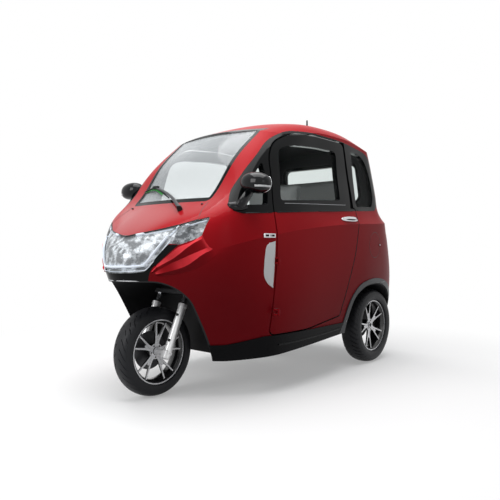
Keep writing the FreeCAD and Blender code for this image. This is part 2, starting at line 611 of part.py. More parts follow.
keep("hood", walls.common(hood_prism).cut(well_prism))
keep("roof_panel", walls.common(roof_prism_middle))
bolt_across = size("plate_bolt_space") / 2
plate_holes = [round_bar(
    size("plate_bolt_radius"), Vector(sign * bolt_across, station(0.7), size("plate_height")),
    Vector(sign * bolt_across, station(1.1), size("plate_height"))) for sign in (-1, 1)]
keep("rear_panel", walls.common(rear_prism).cut([rear_screen_prism, bumper_prism] + plate_holes))
keep("windscreen", panes.common(pane_prism))
keep("windscreen_seal", walls.common(screen_prism).cut(pane_prism))
keep("rear_window", panes.common(rear_screen_pane))
keep("rear_window_seal", walls.common(rear_screen_prism).cut(rear_screen_pane))
keep("lower_grille", walls.common(grille_prism).cut(well_prism))
keep("headlamp_mask", glass_inner.cut(inner_skin).common(lamp_prism))
keep("headlamp_lens", outer_skin.cut(glass_inner).common(lamp_prism))
keep("sills", both(proud_walls.common(sill_band)))
keep("rear_arch_trims", both(proud_walls.common(arch_band)))
bumper_cuts = [rear_arch, mirrored(rear_arch), arch_trim_prism, mirrored(arch_trim_prism)]
keep("rear_bumper", proud_walls.common(bumper_prism.cut(bumper_cuts)))
keep("tail_lamps", both(outer_skin.common(tail_lamp_prism).cut([inner_skin, rear_prism])))

# The black window band outside the doors.

door_front_side = block(
    Vector(0, station(-0.3), 0.0), Vector(beyond, station(0.40), height(1.3)))
rear_gap_station = station(0.5825)
front_quarter = band_prism.common(door_front_side)
front_quarter = front_quarter.cut([door_opening, screen_prism, hood_prism, roof_prism_middle])
swing_slot = block(
    Vector(0, station(0.55), 0.0), Vector(beyond, rear_gap_station, height(0.9405) + gap))
rear_quarter = band_prism.cut([door_opening, swing_slot]).common(block(
    Vector(0, station(0.40), 0.0), Vector(beyond, station(1.1), height(1.3))))
keep("front_quarter_trims", both(walls.common(front_quarter).cut(front_glass_prism)))
keep("front_quarter_glass", both(panes.common(front_glass_prism)))
keep("rear_quarter_trims", both(walls.common(rear_quarter).cut(rear_glass_prism)))
keep("rear_quarter_glass", both(panes.common(rear_glass_prism)))

# Doors.

door_panel = walls.common(door_prism.cut(band_prism))
door_frame = walls.common(door_prism.common(band_prism)).cut(door_glass_prism)
door_glass = panes.common(door_glass_prism)
handle_low = Vector(across(0.90), station(0.489), height(0.614))
handle_high = Vector(across(1.045), station(0.588), height(0.631))
handle = block(handle_low, handle_high)
handle = handle.makeFillet(height(0.0055), handle.Edges)
handle = handle.cut(outer_skin)
for side, turn in (("left", lambda shape: shape), ("right", mirrored)):
    keep("door_%s_panel" % side, turn(door_panel))
    keep("door_%s_frame" % side, turn(door_frame))
    keep("door_%s_glass" % side, turn(door_glass))
    keep("door_%s_handle" % side, turn(handle))

# The wheel wells, the floor and what carries them.

def skin_point(across_by, up):
    """The place on the outer skin seen from the front, at a distance from the middle and a height."""
    sight = Part.makeLine(Vector(across_by, -cab_length, up), Vector(across_by, cab_length, up))
    met = sight.common(outer_skin)
    return min((vertex.Point for vertex in met.Vertexes), key=lambda point: point.y)


rake = math.radians(size("rake_degrees"))
rake_way = Vector(0, math.sin(rake), math.cos(rake))
rake_back = Vector(0, math.cos(rake), -math.sin(rake))
axle_middle = Vector(0, 0, front_axle_height)
steer_base = axle_middle + rake_back * size("fork_offset")
head_hole = round_bar(
    size("head_radius") + size("seat_gap"), steer_base + rake_way * size("clamp_low"),
    steer_base + rake_way * size("stem_top"))
liner = well_prism.cut(well_hollow).common(outer_skin).cut([
    head_hole, block(Vector(-beyond, station(-0.3), 0.0), Vector(beyond, station(1.1), height(0.1280)))])
keep("front_wheel_well", liner)

tub_hollow = prism(
    SIDE, grown(rear_arch_wire, -size("liner_thick")), size("tub_inner") + size("liner_thick"), beyond)
axle_window = block(
    Vector(size("tub_inner") - overrun, wheelbase - size("window_half"), 0.0),
    Vector(size("tub_inner") + size("liner_thick") + overrun / 4, wheelbase + size("window_half"),
           size("window_top")))
tub = rear_arch.cut(tub_hollow).common(outer_skin).cut([
    axle_window, block(Vector(-beyond, station(-0.3), 0.0), Vector(beyond, station(1.1), height(0.164)))])
keep("rear_wheel_wells", both(tub))

floor_top = size("floor_low") + size("floor_thick")
deck_top = size("deck_low") + size("floor_thick")
riser_back = size("riser_station") + size("floor_thick")
pan = block(Vector(-beyond, station(-0.2), size("floor_low")), Vector(beyond, riser_back, floor_top))
riser = block(Vector(-beyond, size("riser_station"), size("floor_low")), Vector(beyond, riser_back, deck_top))
deck = block(Vector(-beyond, size("riser_station"), size("deck_low")), Vector(beyond, station(1.1), deck_top))
floor = pan.fuse([riser, deck]).removeSplitter().common(inner_skin)
keep("floor_pan", floor.cut([well_prism, rear_arch, mirrored(rear_arch)]))

dash_box = block(
    Vector(-beyond, size("dash_front"), size("dash_low")),
    Vector(beyond, size("dash_back"), size("dash_high")))
dash_edges = [edge for edge in dash_box.Edges
              if edge.BoundBox.YMin > size("dash_back") - overrun and edge.BoundBox.XLength > half_width]
keep("dashboard", dash_box.makeFillet(size("cushion_round"), dash_edges).common(inner_skin))


def formula_value(formula):
    """The number that a formula of the sheet's names gives."""
    return float(sheet.evalExpression(formula))


def bound(kind, name, **formulas):
    """A Part object whose sizes follow the sheet."""
    item = doc.addObject(kind, name)
    for prop, formula in formulas.items():
        item.setExpression(prop, formula)
    return item


def put(item, across_by="0 mm", along_by="0 mm", up_by="0 mm", turn=None):
    """Place an object by formulas of the sheet's names, with a turn if one is given."""
    if turn is not None:
        item.Placement = FreeCAD.Placement(Vector(), turn)
    item.setExpression("Placement.Base.x", across_by)
    item.setExpression("Placement.Base.y", along_by)
    item.setExpression("Placement.Base.z", up_by)
    return item


def bar(name, radius, length, across_by="0", along_by="0", up_by="0", turn=None):
    """A round bar whose sizes and place follow the sheet."""
    return put(bound("Part::Cylinder", name, Radius=radius, Height=length), across_by, along_by, up_by, turn)


def brick(name, corner, spread):
    """A box from its low corner and its spread along X, Y and Z, all as formulas."""
    item = bound("Part::Box", name, Length=spread[0], Width=spread[1], Height=spread[2])
    return put(item, *corner)


def joined(name, items):
    """Several objects as one solid."""
    item = doc.addObject("Part::MultiFuse", name)
    item.Shapes = items
    item.Refine = True
    return item


def bored(name, base, tool):
    """An object with another taken out of it."""
    item = doc.addObject("Part::Cut", name)
    item.Base = base
    item.Tool = tool
    return item


def grouped(name, items):
    """Several objects that don't touch, in one sub-part."""
    item = doc.addObject("Part::Compound", name)
    item.Links = items
    return item


def settle(name, item, across_by="0", along_by="0", up_by="0", turn=None):
    """Name a bound object as a sub-part, and place it in the row's frame."""
    put(item, across_by, "Sizes.axle_station + " + along_by, up_by, turn)
    item.Label = name
    nodes[name] = item
    return item


ALONG_X = Rotation(Vector(0, 1, 0), 90)
ALONG_RAKE = Rotation(Vector(1, 0, 0), -size("rake_degrees"))
HALF_TURN = Rotation(Vector(0, 0, 1), 180)
SIDES = (("left", ""), ("right", "-"))

# Chassis: a bent rail on each side, the cross members, and the steering head on its column.

RAIL_BOTTOM = "Sizes.floor_low - Sizes.rail_high"
RAIL_INSIDE = "(Sizes.rail_place - Sizes.rail_wide / 2)"
RAIL_OUTSIDE = "(Sizes.rail_place + Sizes.rail_wide / 2)"
rail_items = []
for side, sign in SIDES:
    rail_corner = "%s Sizes.rail_place - Sizes.rail_wide / 2" % sign
    rail_items.append(joined("side_rail_" + side, [
        brick("low_rail_" + side, (rail_corner, "Sizes.frame_front", RAIL_BOTTOM),
              ("Sizes.rail_wide", "Sizes.riser_station - Sizes.frame_front", "Sizes.rail_high")),
        brick("shoe_" + side, (rail_corner, "Sizes.riser_station - Sizes.rail_wide", RAIL_BOTTOM),
              ("Sizes.rail_wide", "2 * Sizes.rail_wide + Sizes.floor_thick", "Sizes.rail_high")),
        brick("rear_post_" + side, (rail_corner, "Sizes.riser_station + Sizes.floor_thick", RAIL_BOTTOM),
              ("Sizes.rail_wide", "Sizes.rail_wide", "Sizes.deck_low - Sizes.floor_low + Sizes.rail_high")),
        brick("high_rail_" + side,
              (rail_corner, "Sizes.riser_station + Sizes.floor_thick", "Sizes.deck_low - Sizes.rail_high"),
              ("Sizes.rail_wide", "Sizes.frame_back - Sizes.riser_station - Sizes.floor_thick",
               "Sizes.rail_high"))]))
settle("chassis_frame", grouped("rails_all", rail_items))

# The lower cross members run on outside the rails to the sills, and the rear one carries the towing eye.
cross_items = []
for name, along_by, half in (
        ("front_cross", "Sizes.frame_front", "Sizes.front_cross_half"),
        ("middle_cross", "Sizes.riser_station - Sizes.rail_wide", "Sizes.middle_cross_half")):
    for part, low_by, wide_by in (
            ("_inner", "-" + RAIL_INSIDE, "2 * " + RAIL_INSIDE),
            ("_left", RAIL_OUTSIDE, half + " - " + RAIL_OUTSIDE),
            ("_right", "-" + half, half + " - " + RAIL_OUTSIDE)):
        cross_items.append(brick(
            name + part, (low_by, along_by, RAIL_BOTTOM), (wide_by, "Sizes.rail_wide", "Sizes.rail_high")))
cross_items.append(joined("rear_cross_and_plate", [
    brick("rear_cross", ("-" + RAIL_INSIDE, "Sizes.frame_back - Sizes.rail_wide", "Sizes.deck_low - Sizes.rail_high"),
          ("2 * " + RAIL_INSIDE, "Sizes.rail_wide", "Sizes.rail_high")),
    brick("tow_plate", ("-Sizes.tow_thick / 2", "Sizes.frame_back - Sizes.rail_wide", "Sizes.tow_low"),
          ("Sizes.tow_thick", "Sizes.rail_wide", "Sizes.deck_low - Sizes.tow_low - Sizes.rail_high / 2"))]))
tow_bore = bar(
    "tow_bore", "Sizes.tow_radius", "2 * Sizes.tow_thick", "-Sizes.tow_thick",
    "Sizes.frame_back - Sizes.rail_wide / 2", "Sizes.tow_low + Sizes.rail_wide / 2", ALONG_X)
settle("cross_members", bored("crosses_cut", grouped("crosses_all", cross_items), tow_bore))

STEER_ALONG = "Sizes.fork_offset * cos(Sizes.rake_degrees * 1 deg)"
STEER_UP = "Sizes.front_tyre_radius - Sizes.fork_offset * sin(Sizes.rake_degrees * 1 deg)"


def on_steering(name, radius, low, high):
    """A round bar on the steering axis, between two heights along the rake."""
    return bar(name, radius, "%s - %s" % (high, low), "0",
               "%s + %s * sin(Sizes.rake_degrees * 1 deg)" % (STEER_ALONG, low),
               "%s + %s * cos(Sizes.rake_degrees * 1 deg)" % (STEER_UP, low), ALONG_RAKE)


head_items = [
    brick("column", ("-Sizes.column_half", "Sizes.well_back", "Sizes.floor_low + Sizes.floor_thick"),
          ("2 * Sizes.column_half", "Sizes.rail_wide",
           "Sizes.column_top - Sizes.floor_low - Sizes.floor_thick")),
    brick("gusset", ("-Sizes.column_half / 2", "Sizes.gusset_front", "Sizes.well_top + Sizes.liner_thick"),
          ("Sizes.column_half", "Sizes.well_back - Sizes.gusset_front + Sizes.rail_wide / 2",
           "Sizes.column_top - Sizes.well_top - Sizes.liner_thick")),
    on_steering("head_tube", "Sizes.head_radius", "Sizes.head_low", "Sizes.head_high")]
head_bore = on_steering("head_bore", "Sizes.stem_radius + Sizes.running_fit", "Sizes.clamp_low", "Sizes.stem_top")
settle("steering_head", bored("head_cut", joined("head_all", head_items), head_bore))

settle("battery_pack", bound(
    "Part::Box", "battery", Length="Sizes.battery_wide", Width="Sizes.battery_long",
    Height="Sizes.battery_high"),
    "-Sizes.battery_wide / 2", "Sizes.battery_station", "Sizes.floor_low + Sizes.floor_thick")

# Rear axle, with its motor, drums and stubs, and the rear suspension.

axle_items = [
    bar("axle_tube", "Sizes.axle_tube_radius", "2 * Sizes.drum_inner + 2 * Sizes.tow_thick",
        "-Sizes.drum_inner - Sizes.tow_thick", "Sizes.wheelbase", "Sizes.rear_tyre_radius", ALONG_X),
    bar("differential", "Sizes.diff_radius", "Sizes.diff_long", "-Sizes.diff_long / 2", "Sizes.wheelbase",
        "Sizes.rear_tyre_radius", ALONG_X),
    bar("motor", "Sizes.motor_radius", "Sizes.motor_long", "-Sizes.diff_long / 2 - Sizes.motor_long",
        "Sizes.wheelbase", "Sizes.rear_tyre_radius", ALONG_X),
    bar("stubs", "Sizes.stub_radius", "Sizes.rear_track + 2 * Sizes.rear_hub_half",
        "-Sizes.rear_track / 2 - Sizes.rear_hub_half", "Sizes.wheelbase", "Sizes.rear_tyre_radius", ALONG_X),
    bar("drum_left", "Sizes.drum_radius", "Sizes.drum_wide", "Sizes.drum_inner", "Sizes.wheelbase",
        "Sizes.rear_tyre_radius", ALONG_X),
    bar("drum_right", "Sizes.drum_radius", "Sizes.drum_wide", "-Sizes.drum_inner - Sizes.drum_wide",
        "Sizes.wheelbase", "Sizes.rear_tyre_radius", ALONG_X)]
settle("rear_axle", joined("axle_all", axle_items))

spring_items = []
for side, sign in SIDES:
    spring_items.append(joined("shock_" + side, [
        bar("rod_" + side, "Sizes.rod_radius",
            "Sizes.deck_low - Sizes.rear_tyre_radius - Sizes.axle_tube_radius / 2",
            sign + "Sizes.shock_place", "Sizes.wheelbase",
            "Sizes.rear_tyre_radius + Sizes.axle_tube_radius / 2"),
        bar("spring_" + side, "Sizes.shock_radius", "Sizes.spring_high", sign + "Sizes.shock_place",
            "Sizes.wheelbase", "Sizes.deck_low - Sizes.spring_high - Sizes.axle_tube_radius")]))
    spring_items.append(brick(
        "arm_" + side, ("%s Sizes.rail_place - Sizes.rail_wide / 2" % sign,
                        "Sizes.riser_station + Sizes.floor_thick + Sizes.rail_wide",
                        "Sizes.rear_tyre_radius - Sizes.rail_wide / 2"),
        ("Sizes.rail_wide", "Sizes.wheelbase - Sizes.riser_station - Sizes.floor_thick - Sizes.rail_wide",
         "Sizes.rail_wide")))
axle_clear = joined("axle_clear", [
    bar("tube_clear", "Sizes.axle_tube_radius", "4 * Sizes.drum_inner", "-2 * Sizes.drum_inner",
        "Sizes.wheelbase", "Sizes.rear_tyre_radius", ALONG_X),
    bar("motor_clear", "Sizes.motor_radius", "Sizes.motor_long", "-Sizes.diff_long / 2 - Sizes.motor_long",
        "Sizes.wheelbase", "Sizes.rear_tyre_radius", ALONG_X)])
settle("rear_suspension", bored("springs_cut", grouped("springs_all", spring_items), axle_clear))

# Fork, in a frame that stands on the front axle and leans back with the steering axis.

leg_items = []
for side, sign in SIDES:
    leg_items.append(bar("leg_" + side, "Sizes.leg_radius", "Sizes.leg_top + Sizes.leg_foot",
                         sign + "Sizes.leg_spread", "0", "-Sizes.leg_foot"))
pin_hole = bar("pin_hole", "Sizes.front_axle_radius", "4 * Sizes.leg_spread", "-2 * Sizes.leg_spread",
               "0", "0", ALONG_X)
settle("fork_legs", bored("legs_cut", grouped("legs_all", leg_items), pin_hole),
       "0", "0", "Sizes.front_tyre_radius", ALONG_RAKE)

yoke_items = []
for side, sign in SIDES:
    yoke_items.append(bar("stanchion_" + side, "Sizes.stanchion_radius",
                          "Sizes.clamp_low + Sizes.clamp_thick - Sizes.leg_top",
                          sign + "Sizes.leg_spread", "0", "Sizes.leg_top"))
yoke_items += [
    brick("clamp", ("-Sizes.leg_spread - Sizes.leg_radius", "-Sizes.leg_radius", "Sizes.clamp_low"),
          ("2 * Sizes.leg_spread + 2 * Sizes.leg_radius", "2 * Sizes.leg_radius + Sizes.fork_offset / 3",
           "Sizes.clamp_thick")),
    bar("stem", "Sizes.stem_radius", "Sizes.stem_top - Sizes.clamp_low", "0", "Sizes.fork_offset",
        "Sizes.clamp_low"),
    bar("stem_collar", "Sizes.head_radius", "Sizes.head_low - Sizes.clamp_low - Sizes.seat_gap", "0",
        "Sizes.fork_offset", "Sizes.clamp_low")]
settle("fork_yoke", joined("yoke_all", yoke_items), "0", "0", "Sizes.front_tyre_radius", ALONG_RAKE)

grip_items = [bar("bar_tube", "Sizes.bar_radius", "2 * Sizes.bar_half", "-Sizes.bar_half",
                  "Sizes.fork_offset", "Sizes.stem_top + Sizes.bar_radius", ALONG_X)]
for side, start in (("left", "Sizes.bar_half - Sizes.grip_length"), ("right", "-Sizes.bar_half")):
    grip_items.append(bar("grip_" + side, "Sizes.grip_radius", "Sizes.grip_length", start,
                          "Sizes.fork_offset", "Sizes.stem_top + Sizes.bar_radius", ALONG_X))
grip_items.append(brick(
    "bar_clamp", ("-2 * Sizes.bar_radius", "Sizes.fork_offset - 1.5 * Sizes.bar_radius", "Sizes.stem_top"),
    ("4 * Sizes.bar_radius", "3 * Sizes.bar_radius", "2.5 * Sizes.bar_radius")))
settle("handlebar", joined("bar_all", grip_items), "0", "0", "Sizes.front_tyre_radius", ALONG_RAKE)

pin_long = "2 * Sizes.leg_spread + 2 * Sizes.leg_radius + Sizes.tow_thick"
pin_items = [bar("axle_pin", "Sizes.front_axle_radius", pin_long, "-(%s) / 2" % pin_long, "0", "0", ALONG_X)]
for side, start in (("left", "Sizes.front_hub_half + Sizes.seat_gap"),
                    ("right", "-Sizes.leg_spread + Sizes.leg_radius")):
    shorter = "0" if side == "left" else "Sizes.disc_thick"
    spacer_long = "Sizes.leg_spread - Sizes.leg_radius - Sizes.front_hub_half - Sizes.seat_gap - " + shorter
    pin_items.append(bar("spacer_" + side, "Sizes.stanchion_radius", spacer_long, start, "0", "0", ALONG_X))
settle("front_axle", joined("pin_all", pin_items), "0", "0", "Sizes.front_tyre_radius")


# Wheels, turned about X.

def profile(body, name, corners, turn=None):
    """A closed sketch of straight runs, each corner held by formulas of the sheet."""
    sketch = body.newObject("Sketcher::SketchObject", name)
    if turn is not None:
        sketch.Placement = FreeCAD.Placement(Vector(), turn)
    points = [Vector(formula_value(first), formula_value(second), 0) for first, second in corners]
    count = len(points)
    first_line = sketch.GeometryCount
    for index in range(count):
        sketch.addGeometry(Part.LineSegment(points[index], points[(index + 1) % count]), False)
    hold(sketch, first_line, corners)
    return sketch


def hold(sketch, first_line, corners):
    """Join a closed run of a sketch's lines and hold its corners by formulas."""
    count = len(corners)
    for index, (first, second) in enumerate(corners):
        line = first_line + index
        following = first_line + (index + 1) % count
        sketch.addConstraint(Sketcher.Constraint("Coincident", line, 2, following, 1))
        for kind, formula in (("DistanceX", first), ("DistanceY", second)):
            if formula == "0":
                origin = (line, 1, -2) if kind == "DistanceX" else (line, 1, -1)
                sketch.addConstraint(Sketcher.Constraint("PointOnObject", *origin))
                continue
            number = sketch.addConstraint(Sketcher.Constraint(
                kind, -1, 1, line, 1, formula_value(formula)))
            sketch.setExpression("Constraints[%d]" % number, formula)


def turned_body(name, corners):
    """A body turned about X from its half section."""
    body = doc.addObject("PartDesign::Body", name)
    sketch = profile(body, name + "_section", corners)
    turn = body.newObject("PartDesign::Revolution", name + "_turn")
    turn.Profile = sketch
    turn.ReferenceAxis = (sketch, ["H_Axis"])
    turn.Angle = 360.0
    sketch.Visibility = False
    return body


def tyre_body(name, wheel):
    """A tyre with a rounded tread, turned about X."""
    half = "Sizes.%s_tyre_width / 2" % wheel
    bead = "Sizes.%s_rim_width / 2 - Sizes.rim_lip" % wheel
    top = "Sizes.%s_tyre_radius" % wheel
    seat = "Sizes.rim_seat_radius"
    deep = "(%s - %s)" % (top, seat)
    shape = TYRE_SHARES[wheel]
    side = [(bead, seat), (bead, "Sizes.rim_lip_radius")]
    side += [("%s * %s" % (half, wide), "%s + %s * %s" % (seat, deep, high)) for wide, high in shape]
    other = [("-(%s)" % first, second) for first, second in reversed(side)]
    corners = side + [("0", top)] + other
    body = turned_body(name, corners)
    doc.recompute()
    rounding = body.newObject("PartDesign::Fillet", name + "_shoulders")
    turn = body.getObject(name + "_turn")
    wanted = ["Edge%d" % (number + 1) for number, edge in enumerate(turn.Shape.Edges)
              if edge.Curve.TypeId == "Part::GeomCircle"
              and edge.Curve.Radius > size("rim_lip_radius") + size("rim_lip")]
    rounding.Base = (turn, wanted)
    rounding.setExpression("Radius", "Sizes.%s_shoulder" % wheel)
    return body


# Half section of each tyre above its bead: share of the half width, share of the section's depth.

TYRE_SHARES = {
    "front": [(1.0, 0.40), (0.93, 0.72), (0.55, 0.93)],
    "rear": [(1.0, 0.40), (0.97, 0.75), (0.75, 0.95)]}


def rim_body(name, wheel, offset):
    """A rim with its barrel, hub and five pairs of spokes, turned about X."""
    half = "Sizes.%s_rim_width / 2" % wheel
    lip = "Sizes.rim_lip_radius"
    seat = "Sizes.rim_seat_radius"
    inside = "Sizes.rim_seat_radius - Sizes.rim_wall"
    inner = "%s - Sizes.rim_lip" % half
    body = turned_body(name, [
        ("-(%s)" % half, inside), (half, inside), (half, lip), (inner, lip), (inner, seat),
        ("-(%s)" % inner, seat), ("-(%s)" % inner, lip), ("-(%s)" % half, lip)])
    bore = "Sizes.front_axle_radius" if wheel == "front" else "Sizes.stub_radius"
    hub_half = "Sizes.%s_hub_half" % wheel
    hub_sketch = profile(body, name + "_hub_section", [
        ("-" + hub_half, bore + " + Sizes.running_fit"), (hub_half, bore + " + Sizes.running_fit"),
        (hub_half, "Sizes.hub_radius"), ("-" + hub_half, "Sizes.hub_radius")])
    face = Rotation(Vector(0, 1, 0), Vector(0, 0, 1), Vector(1, 0, 0), "ZXY")
    root = "Sizes.hub_radius - Sizes.rim_wall"
    tip = "Sizes.rim_seat_radius - Sizes.rim_wall * 0.7"
    pair = []
    for sign in ("", "-"):
        pair.append([
            (sign + "Sizes.spoke_root", root), (sign + "(Sizes.spoke_root + Sizes.spoke_width)", root),
            (sign + "(Sizes.spoke_tip + Sizes.spoke_width)", tip), (sign + "Sizes.spoke_tip", tip)])
    spoke_sketch = profile(body, name + "_spokes_section", pair[0], face)
    first_line = spoke_sketch.GeometryCount
    points = [Vector(formula_value(first), formula_value(second), 0) for first, second in pair[1]]
    for index in range(len(points)):
        spoke_sketch.addGeometry(Part.LineSegment(points[index], points[(index + 1) % len(points)]), False)
    hold(spoke_sketch, first_line, pair[1])
    spoke_sketch.setExpression("Placement.Base.x", offset)
    spokes = body.newObject("PartDesign::Pad", name + "_spokes")
    spokes.Profile = spoke_sketch
    spokes.setExpression("Length", "Sizes.spoke_thick")
    spokes.Midplane = True
    ring = body.newObject("PartDesign::PolarPattern", name + "_ring")
    ring.Originals = [spokes]
    ring.Axis = (spoke_sketch, ["N_Axis"])
    ring.Angle = 360.0
    ring.Occurrences = 5
    body.Tip = ring
    hub = body.newObject("PartDesign::Revolution", name + "_hub")
    hub.Profile = hub_sketch
    hub.ReferenceAxis = (hub_sketch, ["H_Axis"])
    hub.Angle = 360.0
    body.Tip = hub
    return body


settle("front_tyre", tyre_body("front_tyre_body", "front"), "0", "0", "Sizes.front_tyre_radius")
settle("front_rim", rim_body("front_rim_body", "front", "0"), "0", "0", "Sizes.front_tyre_radius")
disc = bored("disc_cut", bar("disc_plate", "Sizes.disc_radius", "Sizes.disc_thick",
                             "-Sizes.front_hub_half - Sizes.disc_thick", "0", "0", ALONG_X),
             bar("disc_bore", "Sizes.front_axle_radius + Sizes.running_fit", "2 * Sizes.front_hub_half",
                 "-2 * Sizes.front_hub_half", "0", "0", ALONG_X))
settle("front_brake_disc", disc, "0", "0", "Sizes.front_tyre_radius")
for side, sign, turn in (("left", "", None), ("right", "-", HALF_TURN)):
    settle("rear_tyre_" + side, tyre_body("rear_tyre_body_" + side, "rear"),
           sign + "Sizes.rear_track / 2", "Sizes.wheelbase", "Sizes.rear_tyre_radius", turn)
    settle("rear_rim_" + side, rim_body("rear_rim_body_" + side, "rear", "Sizes.rear_spoke_offset"),
           sign + "Sizes.rear_track / 2", "Sizes.wheelbase", "Sizes.rear_tyre_radius", turn)

# Seats, padded across the car from their side view.

SIDE_FACE = Rotation(Vector(0, 1, 0), Vector(0, 0, 1), Vector(1, 0, 0), "ZXY")


def seat_body(name, corners, wide):
    """A seat padded across the car and rounded."""
    body = doc.addObject("PartDesign::Body", name)
    sketch = profile(body, name + "_side", corners, SIDE_FACE)
    pad = body.newObject("PartDesign::Pad", name + "_pad")
    pad.Profile = sketch
    pad.setExpression("Length", wide)
    pad.Midplane = True
    doc.recompute()
    rounding = body.newObject("PartDesign::Fillet", name + "_rounding")
    lowest = pad.Shape.BoundBox.ZMin
    wanted = ["Edge%d" % (number + 1) for number, edge in enumerate(pad.Shape.Edges)
              if edge.BoundBox.ZMin > lowest + size("cushion_round")]
    rounding.Base = (pad, wanted)
    rounding.setExpression("Radius", "Sizes.cushion_round")
    return body


settle("driver_seat", seat_body("driver_seat_body", [
    ("Sizes.seat_front", "Sizes.seat_low"), ("Sizes.seat_back", "Sizes.seat_low"),
    ("Sizes.seat_back + Sizes.seat_lean", "Sizes.seat_top"),
    ("Sizes.seat_back + Sizes.seat_lean - Sizes.back_thick", "Sizes.seat_top"),
    ("Sizes.seat_back - Sizes.back_thick", "Sizes.seat_low + Sizes.cushion_high"),
    ("Sizes.seat_front", "Sizes.seat_low + Sizes.cushion_high")], "Sizes.seat_wide"))
settle("rear_bench", seat_body("rear_bench_body", [
    ("Sizes.bench_front", "Sizes.deck_low + Sizes.floor_thick"),
    ("Sizes.bench_back", "Sizes.deck_low + Sizes.floor_thick"),
    ("Sizes.bench_back + Sizes.bench_lean", "Sizes.bench_top"),
    ("Sizes.bench_back + Sizes.bench_lean - Sizes.back_thick", "Sizes.bench_top"),
    ("Sizes.bench_back - Sizes.back_thick", "Sizes.deck_low + Sizes.floor_thick + Sizes.cushion_high"),
    ("Sizes.bench_front", "Sizes.deck_low + Sizes.floor_thick + Sizes.cushion_high")], "Sizes.bench_wide"))

# Mirrors, wiper and aerial on the skin.



def door_mirror(middle):
    """A mirror case on its arm, on the left side."""
    reach = Vector(size("mirror_half_wide"), size("mirror_half_long"), size("mirror_half_high"))
    case = block(middle - reach, middle + reach)
    case = case.makeFillet(size("mirror_round"), case.Edges).cut(proud_skin)
    foot = Vector(size("mirror_foot_place"), size("mirror_foot_station"), size("mirror_foot_height"))
    arm = round_bar(size("mirror_arm_radius"), foot, middle).cut(outer_skin)
    return case.fuse(arm)


# The right mirror is set further back and up than the left one, as in the photo.
mirror_middle = Vector(size("mirror_place"), size("mirror_station"), size("mirror_height"))
far_middle = mirror_middle + Vector(0, size("mirror_set_back"), size("mirror_set_up"))
keep("mirrors", Part.makeCompound([door_mirror(mirror_middle), mirrored(door_mirror(far_middle))]))

wiper_lift = Vector(0, -math.sin(math.pi / 4), math.cos(math.pi / 4)) * size("wiper_lift")


def wiper_point(across_share, height_share):
    """A place just off the windscreen, as seen from the front."""
    return skin_point(across(across_share), height(height_share)) + wiper_lift


def chain(points, radius):
    """Round bars end to end with balls at the joints."""
    links = [round_bar(radius, one, two) for one, two in zip(points[:-1], points[1:])]
    balls = [Part.makeSphere(radius, point) for point in points]
    return links[0].fuse(links[1:] + balls)


WIPER_ARM_SHARES = [(0.354, 0.6320), (0.200, 0.6560), (0.000, 0.6920), (-0.270, 0.7200)]
WIPER_BLADE_SHARES = [
    (-0.620, 0.7300), (-0.440, 0.7270), (-0.270, 0.7200), (-0.100, 0.7080), (-0.030, 0.7020)]
arm_points = [wiper_point(*place) for place in WIPER_ARM_SHARES]
blade_points = [wiper_point(*place) for place in WIPER_BLADE_SHARES]
pivot = round_bar(
    size("wiper_pivot_radius"), arm_points[0] - wiper_lift * 2, arm_points[0] + wiper_lift * 0.3)
wiper = chain(arm_points, size("wiper_radius")).fuse([chain(blade_points, size("wiper_radius")), pivot])
keep("wiper", wiper.cut(outer_skin))

aerial_foot = Vector(0, size("aerial_station"), height(0.97))
sight = Part.makeLine(aerial_foot, aerial_foot + Vector(0, 0, height(0.3)))
roof_height = min(vertex.Point.z for vertex in sight.cut(outer_skin).Vertexes)
aerial = Part.makeCone(
    size("aerial_foot_radius"), size("aerial_tip_radius"), size("aerial_high"),
    Vector(0, size("aerial_station"), roof_height - overrun / 4))
keep("aerial", aerial.cut(outer_skin))

# Door hinges: pins on the frame, knuckles on the doors.

hinge_fixed = []
hinge_moving = []
for level in (size("hinge_low"), size("hinge_high")):
    place = Vector(size("hinge_place"), size("hinge_station"), level)
    half = size("hinge_half")
    knuckle_half = half / 3
    pin = round_bar(size("hinge_pin_radius"), place - Vector(0, 0, half), place + Vector(0, 0, half))
    leaf_thick = size("hinge_pin_radius")
    fixed_leaf = block(
        place + Vector(-3 * overrun, -size("hinge_leaf"), -half),
        place + Vector(leaf_thick, -leaf_thick / 2, half))
    middle_cut = block(
        place + Vector(-4 * overrun, -2 * size("hinge_pin_radius"), -knuckle_half - size("seat_gap")),
        place + Vector(overrun, size("hinge_leaf"), knuckle_half + size("seat_gap")))
    fixed_leaf = fixed_leaf.cut([outer_skin, middle_cut])
    hinge_fixed.append(pin.fuse(fixed_leaf))
    moving_leaf = block(
        place + Vector(-3 * overrun, 0, -knuckle_half),
        place + Vector(leaf_thick, size("hinge_leaf"), knuckle_half))
    shut_line = block(
        place + Vector(-4 * overrun, -overrun, -half),
        Vector(place.x - size("hinge_knuckle_radius"), place.y + 3 * leaf_thick, level + half))
    moving_leaf = moving_leaf.cut([outer_skin, shut_line])
    knuckle = round_bar(
        size("hinge_knuckle_radius"), place - Vector(0, 0, knuckle_half), place + Vector(0, 0, knuckle_half))
    bore = round_bar(
        size("hinge_pin_radius") + size("running_fit"), place - Vector(0, 0, half),
        place + Vector(0, 0, half))
    hinge_moving.append(knuckle.fuse(moving_leaf).cut(bore))
keep("hinge_pins", both(Part.makeCompound(hinge_fixed)))
keep("door_left_hinges", Part.makeCompound(hinge_moving))
keep("door_right_hinges", mirrored(Part.makeCompound(hinge_moving)))

os.makedirs("parts", exist_ok=True)
doc.recompute()
for name, feature in nodes.items():
    shape = feature.Shape
    if "Invalid" in feature.State or "Error" in feature.State or shape.isNull() or not shape.isValid():
        raise RuntimeError("%s did not build" % name)
    shape.exportStep("parts/%s.step" % name)
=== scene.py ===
"""Looks of an enclosed three wheeled car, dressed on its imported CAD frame."""

